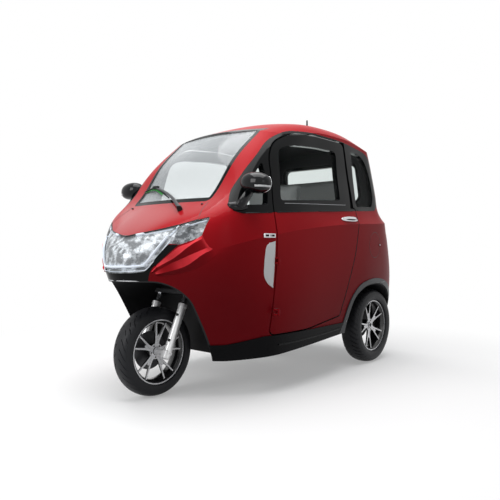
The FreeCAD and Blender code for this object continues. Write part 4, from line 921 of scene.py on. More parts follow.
@dataclass
class Stage:
    """Floor, sky, lamps and the photo's camera."""

    eye: Place = (2.2264, -2.5987, 0.7764)
    way: Place = (-0.65207646, 0.75810883, -0.00820296)
    focal: float = 39.276
    sensor: float = 36.0
    floor_half: float = 30.0
    floor_tone: float = 0.90
    floor_bounce: float = 0.30
    sky_tint: Colour = (0.93, 0.96, 1.0)
    sky_fill: float = 0.23
    white: Colour = (1.0, 1.0, 1.0)
    haze: float = 0.30
    clear_from: float = 1.2
    clear_to: float = 2.6
    lamps: tuple[tuple[str, Place, Place, float, float, bool], ...] = (
        ("lamp_over", (0.2, -0.4, 4.4), (0.0, 0.0, 0.6), 4.0, 215.0, True),
        ("lamp_front", (-1.0, -4.8, 2.6), (0.0, -0.4, 0.7), 2.2, 75.0, True),
        ("lamp_side", (4.6, -2.6, 2.2), (0.0, -0.2, 0.9), 2.0, 14.0, True),
        ("lamp_far", (-4.4, 1.0, 2.4), (0.0, 0.2, 0.9), 2.0, 60.0, False))

    def floor(self) -> None:
        """A pale floor that fades into the sky and throws little light back."""
        grid = bmesh.new()
        bmesh.ops.create_grid(grid, x_segments=1, y_segments=1, size=self.floor_half)
        mesh = bpy.data.meshes.new("floor")
        grid.to_mesh(mesh)
        grid.free()
        material = bpy.data.materials.new("pale_floor")
        bench = Bench(material)
        seen = bench.seen()
        pale = bench.mix(seen, (self.floor_bounce,) * 3, (self.floor_tone,) * 3)
        bench.shade(Base_Color=pale, Roughness=0.8, Specular_IOR_Level=0.0)
        across, along, _ = bench.axes()
        far = ((across * across + along * along) ** 0.5).rise(self.clear_from, self.clear_to)
        shine = bench.node("Emission", {"Color": self.white, "Strength": 1.0})
        bench.surface((far * (1.0 - self.haze) + self.haze) * seen, bench.shader, shine)
        mesh.materials.append(material)
        made = linked("floor", mesh)

    def sky(self) -> None:
        """A plain world, white where it is seen or mirrored and softer as light."""
        bpy.context.scene.world = bpy.data.worlds.new("sky")
        bench = Bench(bpy.context.scene.world)
        bench.shade(Color=self.sky_tint, Strength=self.sky_fill)
        white = bench.node("Background", {"Color": self.white, "Strength": 1.0})
        bench.surface(bench.seen(), bench.shader, white)

    def aimed(self, name: str, data: bpy.types.ID, place: Place, way: Vector) -> bpy.types.Object:
        """A lamp or camera.

        Args:
            name: its name.
            data: the lamp's or camera's settings.
            place: where it stands.
            way: where it looks.

        Returns:
            The object.
        """
        made = linked(name, data)
        made.location = place
        made.rotation_euler = way.to_track_quat("-Z", "Y").to_euler()
        return made

    def build(self) -> None:
        """Make everything round the car."""
        lens = bpy.data.cameras.new("camera")
        lens.lens = self.focal
        lens.sensor_width = self.sensor
        bpy.context.scene.camera = self.aimed("camera", lens, self.eye, Vector(self.way))
        self.floor()
        self.sky()
        for name, place, target, wide, power, in_gloss in self.lamps:
            light = bpy.data.lights.new(name, "AREA")
            light.size = wide
            light.energy = power
            self.aimed(name, light, place, Vector(target) - Vector(place)).visible_glossy = in_gloss
        bpy.context.scene.view_settings.view_transform = "Standard"


@dataclass
class WheelPart:
    """What tyres and rims have in common."""

    name: str
    node: str
    body: str
    middle: Place
    half: float
    seat: float = 0.154


@dataclass
class Tyre(WheelPart):
    """A tyre with a directional tread of curved grooves."""

    bead_half: float = 0.041
    wall_shares: tuple[Pair, ...] = ((0.94, 0.22), (0.985, 0.36), (1.0, 0.48), (0.985, 0.58), (0.95, 0.67))
    grooves: int = 30
    rows_each: int = 6
    sweep: float = 0.30
    deep: float = 0.0045
    groove_gap: float = 0.0006

    def outline(self) -> list[Pair]:
        """The section from one bead over the tread to the other.

        Returns:
            Distances along and from the axle.
        """
        tall = self.middle[2] - self.seat
        wall = [(self.bead_half, self.seat + 0.001), (self.bead_half + 0.002, self.seat + 0.016)]
        wall += [(self.half * wide, self.seat + tall * high) for wide, high in self.wall_shares]
        for step in range(9):
            turn = step / 8 * math.pi / 2
            high = 0.70 + 0.30 * math.sin(turn) ** 0.95
            wall.append((self.half * 0.93 * math.cos(turn) ** 0.9, self.seat + tall * high))
        return wall + [(-along, high) for along, high in reversed(wall[:-1])]

    def build(self) -> None:
        """Spin the section, sweep its columns back into chevrons and cut the grooves."""
        work = Work(self.name)
        centre = Vector(self.middle)
        tall = self.middle[2] - self.seat
        steps = self.grooves * self.rows_each
        work.spun(self.outline(), centre, OUT, steps)
        crown_edge = self.half * 0.90
        faces = []
        for face in work.bm.faces:
            middle = face.calc_center_median() - centre
            on_crown = math.hypot(middle.y, middle.z) > self.seat + tall * 0.66
            row = round(math.atan2(middle.z, middle.y) / (math.tau / steps) - 0.5)
            row += 0 if middle.x > 0 else self.rows_each // 2
            if on_crown and 0.14 < abs(middle.x) / crown_edge < 1.02 and row % self.rows_each == 0:
                faces.append(face)
        bmesh.ops.inset_region(work.bm, faces=faces, thickness=self.groove_gap, depth=0.0)
        pressed = bmesh.ops.extrude_face_region(work.bm, geom=faces)["geom"]
        bmesh.ops.delete(work.bm, geom=faces, context="FACES")
        for vertex in {item for item in pressed if isinstance(item, bmesh.types.BMVert)}:
            middle = vertex.co - centre
            share = 1 - self.deep / math.hypot(middle.y, middle.z)
            vertex.co = centre + Vector((middle.x * 0.985, middle.y * share, middle.z * share))
        for vertex in work.bm.verts:
            middle = vertex.co - centre
            out = math.hypot(middle.y, middle.z)
            if out >= self.seat + tall * 0.45:
                lean = self.sweep * min(abs(middle.x) / crown_edge, 1.15) ** 1.6
                lean *= min((out / self.middle[2] - 0.80) / 0.12, 1.0)
                vertex.co = centre + Matrix.Rotation(lean, 3, "X") @ middle
        work.finished(RUBBER, self.body, [self.node], smooth=38.0)


@dataclass
class Rim(WheelPart):
    """A black alloy rim whose five forked spokes are turned bright outside."""

    dish: float = 0.026
    phase: float = 38.0
    side: Side = Side.LEFT
    lip: float = 0.166
    hub: float = 0.034
    pairs: int = 5
    split: float = 12.5
    flange: float = 0.044
    bolt_circle: float = 0.031
    arm_half: float = 0.0085
    blade: tuple[Pair, ...] = (
        (-0.0074, -0.012), (0.0074, -0.012), (0.0074, -0.001), (0.0066, 0.0), (-0.0066, 0.0),
        (-0.0074, -0.001))

    def point(self, radius: float, angle: float, aside: float = 0.0) -> Vector:
        """A place on the spokes' dished face.

        Args:
            radius: the distance from the axle.
            angle: the turn about the axle.
            aside: the distance across the spoke.

        Returns:
            The place.
        """
        share = max((radius - self.hub) / (self.lip - self.hub), 0.0)
        along = self.dish + (self.half - 0.006 - self.dish) * share ** 1.15
        out = Vector((0.0, math.cos(angle), math.sin(angle)))
        return Vector(self.middle) + OUT * along + out * radius + OUT.cross(out) * aside

    def barrel(self, work: Work) -> None:
        """The barrel with its two lips.

        Args:
            work: the piece.
        """
        edge = self.lip - 0.0060
        front = [(self.half, self.lip), (self.half, edge), (self.half - 0.004, self.lip - 0.009),
                 (self.half - 0.010, 0.151), (self.half * 0.5, 0.144)]
        rear = [(-along, radius) for along, radius in reversed(front)]
        outer = [(0.004 - self.half, self.lip), (0.007 - self.half, self.seat + 0.001),
                 (self.half - 0.007, self.seat + 0.001), (self.half - 0.004, self.lip)]
        work.spun(front + rear + outer + front[:1], Vector(self.middle), OUT, 96)

    def spokes(self, work: Work) -> None:
        """Five arms that fork into slim blades.

        Args:
            work: the piece.
        """
        ends = math.tan(math.radians(self.split)) * (self.lip - 0.008)
        asides = (0.006, self.arm_half, self.arm_half + (ends - self.arm_half) * 0.42, ends)
        for pair in range(self.pairs):
            angle = math.radians(self.phase + 360 / self.pairs * pair)
            for way in (-1, 1):
                run = eased([
                    self.point(radius, angle, way * aside)
                    for radius, aside in zip((0.026, 0.058, 0.100, self.lip - 0.010), asides)], 6)
                work.drawn(run, self.blade, OUT, tapered(len(run), 1.15, 0.53))
            arm = [self.point(radius, angle) - OUT * 0.0006 for radius in (0.026, 0.055, 0.086)]
            work.drawn(arm, [(one * 2.1, two) for one, two in self.blade], OUT, [1.0, 0.90, 0.36])

    def centre(self, work: Work) -> None:
        """The hub, its flange and cap.

        Args:
            work: the piece.
        """
        face, back = self.dish, -self.half * 0.62
        work.spun(
            [(back, 0.0), (back, self.hub * 0.8), (back + 0.006, self.hub), (face - 0.016, self.hub),
             (face - 0.012, self.flange), (face - 0.002, self.flange), (face, self.flange - 0.003),
             (face, 0.021), (face + 0.004, 0.019), (face + 0.004, 0.0)], Vector(self.middle), OUT, 48)

    def build(self) -> None:
        """Make the rim and its bolts."""
        work = Work(self.name)
        self.barrel(work)
        self.spokes(work)
        self.centre(work)
        work.finished(ALLOY, self.body, [self.node], smooth=30.0, side=self.side)
        bolts = Work(self.name + "_bolts")
        for pair in range(self.pairs):
            angle = math.radians(self.phase + 180 / self.pairs + 360 / self.pairs * pair)
            foot = self.point(self.bolt_circle, angle)
            foot.x = self.middle[0] + self.dish - 0.002
            bolts.cylinder(foot, foot + OUT * 0.0045, 0.0046, 0.0040, 6)
        bolts.finished(SATIN_BLACK, self.body, side=self.side)


@dataclass
class Headlamp:
    """The wide headlamp's light guides: name, radius, lift, whether it crosses the middle, and places."""

    skin: Skin
    guides: tuple[tuple[str, float, float, bool, Line], ...] = (
        ("inner_guide", 0.0062, -0.001, True, (
            (246, -122, 817), (213, -161, 755), (164, -187, 689), (143, -200, 679), (49, -246, 673),
            (0, -250, 672))),
        ("outer_guide", 0.0022, 0.001, True, (
            (268, -122, 800), (222, -150, 735), (172, -180, 668), (150, -190, 658), (99, -225, 653),
            (0, -250, 648))),
        ("upper_guide", 0.0060, -0.002, False, (
            (70, -165, 829), (117, -149, 833), (190, -117, 845), (245, -84, 856))),
        ("wing_guide", 0.0042, -0.001, False, ((300, -50, 872), (343, -12, 886), (378, 14, 898))),
        ("slash", 0.0034, 0.0, False, ((272, -68, 868), (258, -90, 842), (250, -110, 822))))

    def build(self) -> None:
        """Make the lines of light."""
        for name, radius, lift, crosses, line in self.guides:
            left = course(line, 6)
            work = Work("lamp_" + name)
            for run in [left + mirrored(left[-2::-1])] if crosses else [left, mirrored(left)]:
                path = [self.skin.near(point, lift) for point in run]
                work.drawn(path, ellipse(radius, radius), [self.skin.normal(point) for point in path])
            work.finished(LED)


@dataclass
class FenderRidges:
    """Two raised facets on each front fender, from the lamp back to the crease."""

    skin: Skin
    rows: tuple[Line, ...] = (
        ((385, -22, 826), (345, -62, 792), (297, -97, 768), (245, -133, 718), (199, -155, 676),
         (178, -168, 646)),
        ((392, -24, 812), (342, -63, 774), (282, -103, 722), (218, -141, 684), (182, -165, 648)),
        ((412, -6, 770), (341, -62, 732), (263, -117, 689), (186, -162, 646)),
        ((425, 6, 760), (381, -36, 723), (321, -76, 680), (237, -126, 653), (190, -158, 642)),
        ((436, 18, 735), (402, -20, 690), (335, -70, 650), (250, -125, 628), (195, -155, 632)))
    rise_shares: tuple[float, ...] = (0.0, 1.0, 0.25, 0.95, 0.0)
    proud: float = 0.013
    seated: float = 0.0006

    def press(self, point: Vector, along: float, across: float) -> Vector:
        """Set a point on the skin with its row's rise.

        Args:
            point: the point.
            along: its share along the rows.
            across: its share across them.

        Returns:
            Its new place.
        """
        step = across * (len(self.rows) - 1)
        low = min(int(step + 1e-6), len(self.rows) - 2)
        rise = self.rise_shares[low] * (1 - step + low) + self.rise_shares[low + 1] * (step - low)
        fade = min(along / 0.16, 1.0) ** 0.8 * min((1 - along) / 0.05, 1.0)
        return self.skin.near(point, self.seated + self.proud * rise * fade)

    def build(self) -> None:
        """Make both sides."""
        runs = [course(row) for row in self.rows]
        # Their paint carries a painted highlight on faces that look up.
        both("fender_ridges_{side}", RIDGE_RED, lambda work: work.lofted(runs, 40, 1, self.press),
             smooth=9.0, outward=False)


@dataclass
class DoorMirror:
    """A gloss black mirror with a pale lamp strip, on a neck that grows out of the window band's tip."""

    side: Side
    middle: Place
    half: Place = (0.084, 0.058, 0.055)
    blunt: float = 0.88
    glass_inset: float = 0.86
    strip_level: float = -0.30
    spread: float = 0.10
    droop: float = 0.05
    foot: Line = ((428, 106, 979), (450, 118, 968), (470, 146, 966), (478, 176, 974))
    foot_from: float = 0.205

    def shell(self, work: Work) -> None:
        """The pebble shaped case, its neck and the wing at its foot.

        Args:
            work: the piece.
        """
        centre = at(self.middle)
        for vertex in work.pebble(self.half, centre, self.blunt, 28):
            local = vertex.co - centre
            low = min(local.z / self.half[2], 0.0)
            back = max(local.y / self.half[1], 0.0)
            vertex.co = centre + Vector((
                local.x * (1 + self.spread * low), local.y * (1 - 0.45 * back * back),
                local.z * (1 + 0.12 * low) - self.droop * local.x))
        shift = BACK * (self.middle[1] / MILLIMETRES - self.foot_from)
        wing = [at(place) + shift for place in self.foot]
        work.drawn(eased(wing, 6), ellipse(0.022, 0.015), Vector((0.8, -0.4, 0.4)),
                   [0.35 + 0.75 * math.sin(math.pi * min(step / 16, 0.62)) for step in range(19)])
        neck = [wing[2], wing[2] + Vector((0.014, 0.008, 0.024)), centre + Vector((-0.034, -0.006, -0.036))]
        work.drawn(eased(neck), ellipse(0.017, 0.026), Vector((0, -1, 0.3)), tapered(17, 1.15, 0.90))

    def strip(self, work: Work) -> None:
        """The pale lamp strip low on the outer half.

        Args:
            work: the piece.
        """
        level = self.strip_level
        flat = (1.0 - abs(level) ** (2 / self.blunt)) ** (self.blunt / 2)
        offsets = []
        for step in range(15):
            turn = math.radians(-66 + 78 * step / 14)
            spread = powered((math.cos(turn), math.sin(turn)), self.blunt)
            x = spread[0] * self.half[0] * flat * (1 + self.spread * level)
            z = level * self.half[2] * (1 + 0.12 * level) - self.droop * x
            offsets.append(Vector((x, spread[1] * self.half[1] * flat, z)))
        work.drawn([at(self.middle) + offset for offset in offsets], strip_section(0.009, 0.0022),
                   [offset.normalized() for offset in offsets])

    def pane(self, work: Work) -> None:
        """The mirror glass, set in the rear face."""
        half = (self.half[0] * self.glass_inset, 0.004, self.half[2] * self.glass_inset)
        work.pebble(half, at(self.middle) + BACK * (self.half[1] * 0.55), self.blunt)

    def build(self) -> None:
        """Make the mirror."""
        for part, make, finish, nodes, smooth in (
                ("case", self.shell, MIRROR_BLACK, ["mirrors"], 60.0),
                ("strip", self.strip, PALE_TRIM, [], 35.0),
                ("pane", self.pane, MIRROR_GLASS, [], 60.0)):
            work = Work(f"mirror_{part}_{self.side.word}")
            make(work)
            work.finished(finish, replaces=nodes, side=self.side, smooth=smooth)


@dataclass
class DoorHandle:
    """A chrome pull handle; a dark oval behind its bar is painted shade in the finger recess."""

    skin: Skin
    station: float = 1.083
    height: float = 0.934
    half_long: float = 0.094
    half_high: float = 0.0138
    bow: tuple[Place, ...] = (
        (0.004, -0.84, 0.002), (0.018, -0.45, 0.003), (0.0205, 0.0, 0.003), (0.018, 0.45, 0.003),
        (0.004, 0.84, 0.002))

    def bezel(self, work: Work) -> None:
        """The rim with its bowed bar.

        Args:
            work: the piece.
        """
        work.pebble((0.010, self.half_long, self.half_high), Vector(), 0.72)
        bar = eased([Vector((out, self.half_long * share, up)) for out, share, up in self.bow])
        work.drawn(bar, ellipse(0.0078, 0.0036), OUT)
        work.placed(self.skin.seat(self.station, self.height))

    def recess(self, work: Work) -> None:
        """A dark oval behind the bar: painted shade in the hollow."""
        work.pebble((0.0025, self.half_long * 0.62, self.half_high * 0.66), OUT * 0.0092, 0.7)
        work.placed(self.skin.seat(self.station, self.height))

    def build(self) -> None:
        """Make both doors' handles."""
        both("door_{side}_handle_bezel", CHROME, self.bezel, "door_{side}", ["door_{side}_handle"],
             smooth=50.0)
        # Painted shade in the handles' hollows.
        both("door_{side}_handle_recess", SATIN_BLACK, self.recess, "door_{side}")


@dataclass
class Wiper:
    """A single wiper: pivot cap, tapered arm, joint and blade on the windscreen."""

    skin: Skin
    pivot: Place = (180, 21, 954)
    elbow: Place = (60, 85, 1012)
    knee: Place = (-74, 140, 1064)
    joint: Place = (-185, 175, 1096)
    blade_start: Place = (-328, 190, 1089)
    blade_end: Place = (-4, 108, 1030)
    arm_section: tuple[Pair, ...] = (
        (-0.0075, -0.0025), (0.0075, -0.0025), (0.0075, 0.0015), (0.0045, 0.003), (-0.0045, 0.003),
        (-0.0075, 0.0015))
    blade_steps: int = 14

    def run(self, places: Sequence[Place], lifts: Sequence[float], steps: int = 8) -> list[Vector]:
        """A smooth run over the glass.

        Args:
            places: the places it passes over.
            lifts: its distance from the glass at each.
            steps: steps between two places.

        Returns:
            The run.
        """
        feet = [self.skin.near(at(place)) for place in places]
        return eased([foot + self.skin.normal(foot) * lift for foot, lift in zip(feet, lifts)], steps)

    def build(self) -> None:
        """Make the pieces."""
        foot = self.skin.near(at(self.pivot))
        out = self.skin.normal(foot)
        cap = Work("wiper_pivot")
        cap.cylinder(foot - out * 0.006, foot + out * 0.020, 0.0150, 0.0125)
        cap.pebble((0.0125, 0.0125, 0.006), foot + out * 0.020)
        cap.finished(SATIN_BLACK)
        arm = Work("wiper_arm")
        path = self.run((self.pivot, self.elbow, self.knee, self.joint), (0.016, 0.024, 0.022, 0.016))
        arm.drawn(path, self.arm_section, out, tapered(len(path), 1.25, 0.60))
        arm.finished(GREY_TRIM, replaces=["wiper"])
        blade = Work("wiper_blade")
        over = (self.blade_start, self.joint, self.blade_end)
        run = self.run(over, (0.009, 0.0105, 0.009), self.blade_steps)
        last = len(run) - 1
        blade.drawn(run, [(-0.0045, -0.003), (0.0045, -0.003), (0.0036, 0.003), (-0.0036, 0.003)], out,
                    [0.55 + 0.6 * math.sin(math.pi * step / last) ** 0.5 for step in range(len(run))])
        lip = self.run(over, (0.0035, 0.0035, 0.0035), self.blade_steps)
        blade.drawn(lip, [(-0.0012, -0.0032), (0.0012, -0.0032), (0.0030, 0.003), (-0.0030, 0.003)], out)
        blade.pebble((0.026, 0.010, 0.0085), run[len(run) // 2] + out * 0.006, 0.6, 12)
        blade.finished(SATIN_BLACK)
        film = Work("wiper_film")
        low = [point - Vector((0, 0.004, 0.010)) for point in run[:-6]]
        film.drawn(low, [(-0.0055, -0.0008), (0.0055, -0.0008), (0.0055, 0.0008), (-0.0055, 0.0008)], out)
        film.finished(GREEN_FILM)


@dataclass
class Hinges:
    """Slim painted door hinges: pins with outer barrels on the body, middle barrels on the doors."""

    across: float = 0.541
    along: float = -0.417
    levels: Pair = (0.440, 0.700)
    radius: float = 0.0052
    half: float = 0.018
    middle_half: float = 0.0065
    gap: float = 0.0006
    leaf: float = 0.016

    def barrels(self, work: Work, spans: Sequence[Pair], way: int) -> None:
        """Barrels with their leaves to the skin.

        Args:
            work: the piece.
            spans: each barrel's low and high end from its hinge's middle.
            way: -1 for leaves to the front, 1 to the rear.
        """
        end = self.along + way * self.leaf
        for level in self.levels:
            for low, high in spans:
                pin = Vector((self.across, self.along, level))
                work.cylinder(pin + UP * low, pin + UP * high, self.radius, self.radius, 20)
                work.box(Vector((self.across - 0.020, min(self.along, end), level + low)),
                         Vector((self.across - 0.001, max(self.along, end), level + high)), 0.0016, 2)

    def build(self) -> None:
        """Make the hinges of both sides."""
        edge = self.middle_half + self.gap
        both("hinge_barrels_{side}", RED,
             lambda work: self.barrels(work, ((-self.half, -edge), (edge, self.half)), -1),
             replaces=["hinge_pins"])
        both("door_hinge_barrels_{side}", RED,
             lambda work: self.barrels(work, ((-self.middle_half, self.middle_half),), 1),
             "door_{side}", ["door_{side}_hinges"])


@dataclass
class Cushion:
    """A padded cushion that is blown up by a short cloth simulation, with piping round its seam."""

    name: str
    low: Place
    high: Place
    lean: float = 0.0
    node: str = ""
    voxel: float = 0.006
    pressure: float = 4.0
    quality: int = 4
    frames: int = 20
    cap: float = 0.016
    shrink: float = 0.010
    rounding: float = 0.026
    piping: float = 0.0035
    piping_steps: int = 72
    piping_inset: float = 0.022

    def corners(self) -> tuple[Vector, Vector]:
        """The low and the high corner before the cushion is filled."""
        inset = Vector((self.shrink,) * 3)
        return at(self.low) + inset, at(self.high) - inset

    def slanted(self, point: Vector) -> Vector:
        """A point leant back by its height over the cushion's foot.

        Args:
            point: the point.

        Returns:
            Its new place.
        """
        foot, top = (corner[2] / MILLIMETRES for corner in (self.low, self.high))
        share = (point.z - foot) / (top - foot)
        return point + BACK * (self.lean * share)

    def start(self) -> bpy.types.Object:
        """The shape before it is filled.

        Returns:
            The cushion.
        """
        work = Work(self.name)
        work.box(*self.corners(), self.rounding, 5)
        for vertex in work.bm.verts:
            vertex.co = self.slanted(vertex.co)
        made = work.finished(VINYL, replaces=[self.node] if self.node else [], smooth=60.0)
        remesh = made.modifiers.new("even", "REMESH")
        remesh.mode = "VOXEL"
        remesh.voxel_size = self.voxel
        remesh.use_smooth_shade = True
        self.applied(made)
        return made

    def applied(self, made: bpy.types.Object) -> None:
        """Put the modifiers' result in the mesh.

        Args:
            made: the cushion.
        """
        ready = made.evaluated_get(bpy.context.evaluated_depsgraph_get())
        mesh = bpy.data.meshes.new_from_object(ready)
        mesh.name = made.name
        made.modifiers.clear()
        made.data = mesh
        mesh.shade_smooth()

    def fill(self, made: bpy.types.Object) -> None:
        """Blow the cushion up like cloth over foam, each point capped.

        Args:
            made: the cushion.
        """
        rest = [vertex.co.copy() for vertex in made.data.vertices]
        cloth = made.modifiers.new("fill", "CLOTH")
        cloth.settings.use_pressure = True
        cloth.settings.uniform_pressure_force = self.pressure
        cloth.settings.effector_weights.gravity = 0.0
        cloth.settings.quality = self.quality
        cloth.point_cache.frame_start = 1
        cloth.point_cache.frame_end = self.frames
        scene = bpy.context.scene
        for number in range(1, self.frames + 1):
            scene.frame_set(number)
        self.applied(made)
        scene.frame_set(1)
        for vertex, was in zip(made.data.vertices, rest):
            moved = vertex.co - was
            if moved.length > self.cap:
                vertex.co = was + moved * (self.cap / moved.length)

    def seam(self) -> None:
        """Piping round the cushion's middle, pressed into its cover."""
        low, high = self.corners()
        middle, half = (low + high) / 2, (high - low) / 2
        standing = half.z > half.y
        tree = BVHTree.FromObject(bpy.data.objects[self.name], bpy.context.evaluated_depsgraph_get())
        ring = []
        for step in range(self.piping_steps):
            angle = math.tau * step / self.piping_steps
            across, along = powered((math.cos(angle), math.sin(angle)), 0.42)
            if standing:
                point = Vector((across * half.x, low.y + self.piping_inset, middle.z + along * half.z))
                point = self.slanted(point)
            else:
                point = Vector((across * half.x, middle.y + along * half.y, high.z - self.piping_inset))
            found = tree.find_nearest(point)
            ring.append(found[0] + found[1] * 0.0012)
        ring.append(ring[0].lerp(ring[1], 0.3))
        work = Work(self.name + "_piping")
        work.drawn(ring, ellipse(self.piping, self.piping), BACK if standing else UP)
        work.finished(PIPING)

    def build(self) -> None:
        """Make the cushion."""
        made = self.start()
        self.fill(made)
        soft = made.modifiers.new("soft", "SUBSURF")
        soft.levels = 1
        soft.render_levels = 1
        self.seam()


@dataclass
class Seats:
    """The driver's seat and the rear bench as four padded cushions on black bases."""

    cushions: tuple[tuple[str, Place, Place, float, str], ...] = (
        ("driver_cushion", (-220, 600, 478), (220, 940, 578), 0.0, "driver_seat"),
        ("driver_back", (-220, 912, 560), (220, 1000, 1180), 0.058, ""),
        ("bench_cushion", (-330, 1165, 520), (330, 1380, 626), 0.0, "rear_bench"),
        ("bench_back", (-330, 1352, 600), (330, 1440, 1248), 0.048, ""))
    bases: tuple[Line, ...] = (((-190, 625, 460), (190, 985, 492)), ((-300, 1180, 509), (300, 1430, 536)))

    def build(self) -> None:
        """Make the cushions and bases."""
        for cushion in self.cushions:
            Cushion(*cushion).build()
        base = Work("seat_bases")
        for low, high in self.bases:
            base.box(at(low), at(high), 0.006)
        base.finished(SATIN_BLACK)


@dataclass
class ForkDress:
    """Collars, seals, bolts and the slotted foot of the fork legs."""

    spread: float = 0.105
    foot: Place = (0.0, 0.0, 229.5)
    up: Place = (0.0, 0.4131, 0.9107)
    ahead: Place = (0.0, -0.9107, 0.4131)
    rake: float = -24.4
    collars: tuple[Place, ...] = ((0.246, 0.264, 0.0235), (0.170, 0.174, 0.0218), (0.030, 0.034, 0.0218))

    def on_leg(self, side: Side, along: float, forward: float = 0.0, out: float = 0.0) -> Vector:
        """A place by a leg.

        Args:
            side: which leg.
            along: the distance up its line.
            forward: the distance ahead of it.
            out: the distance outwards.

        Returns:
            The place.
        """
        base = at(self.foot) + Vector(self.up) * along + Vector(self.ahead) * forward
        return base + OUT * (side.value * (self.spread + out))

    def build(self) -> None:
        """Make the pieces of both legs."""
        way = Vector(self.up)
        for side in Side:
            silver = Work("fork_collars_" + side.word)
            for low, high, wide in self.collars:
                silver.spun([(low, 0.019), (low, wide), (high, wide), (high, 0.019), (low, 0.019)],
                            self.on_leg(side, 0.0), way, 40)
            silver.box(self.on_leg(side, -0.030, 0.0, -0.014) - BACK * 0.017,
                       self.on_leg(side, -0.030, 0.0, 0.018) + Vector((0, 0.020, 0.045)), 0.006, 3,
                       Matrix.Rotation(math.radians(self.rake), 4, "X"))
            silver.finished(SILVER, "steering", smooth=40.0)
            dark = Work("fork_seals_and_bolts_" + side.word)
            dark.spun([(0.262, 0.015), (0.262, 0.0205), (0.268, 0.0190), (0.272, 0.015), (0.262, 0.015)],
                      self.on_leg(side, 0.0), way, 40)
            for along in (0.200, 0.064):
                start = self.on_leg(side, along, 0.016, 0.004)
                dark.cylinder(start, start + Vector((side.value * 0.006, -0.011, 0.004)), 0.0075, 0.0068, 20)
            for along in (-0.010, 0.001):
                spot = self.on_leg(side, along, 0.002, 0.0178)
                slot = Vector((0.0015, 0.006, 0.0026))
                dark.box(spot - slot, spot + slot, 0.0008, 2)
            dark.finished(SATIN_BLACK, "steering")


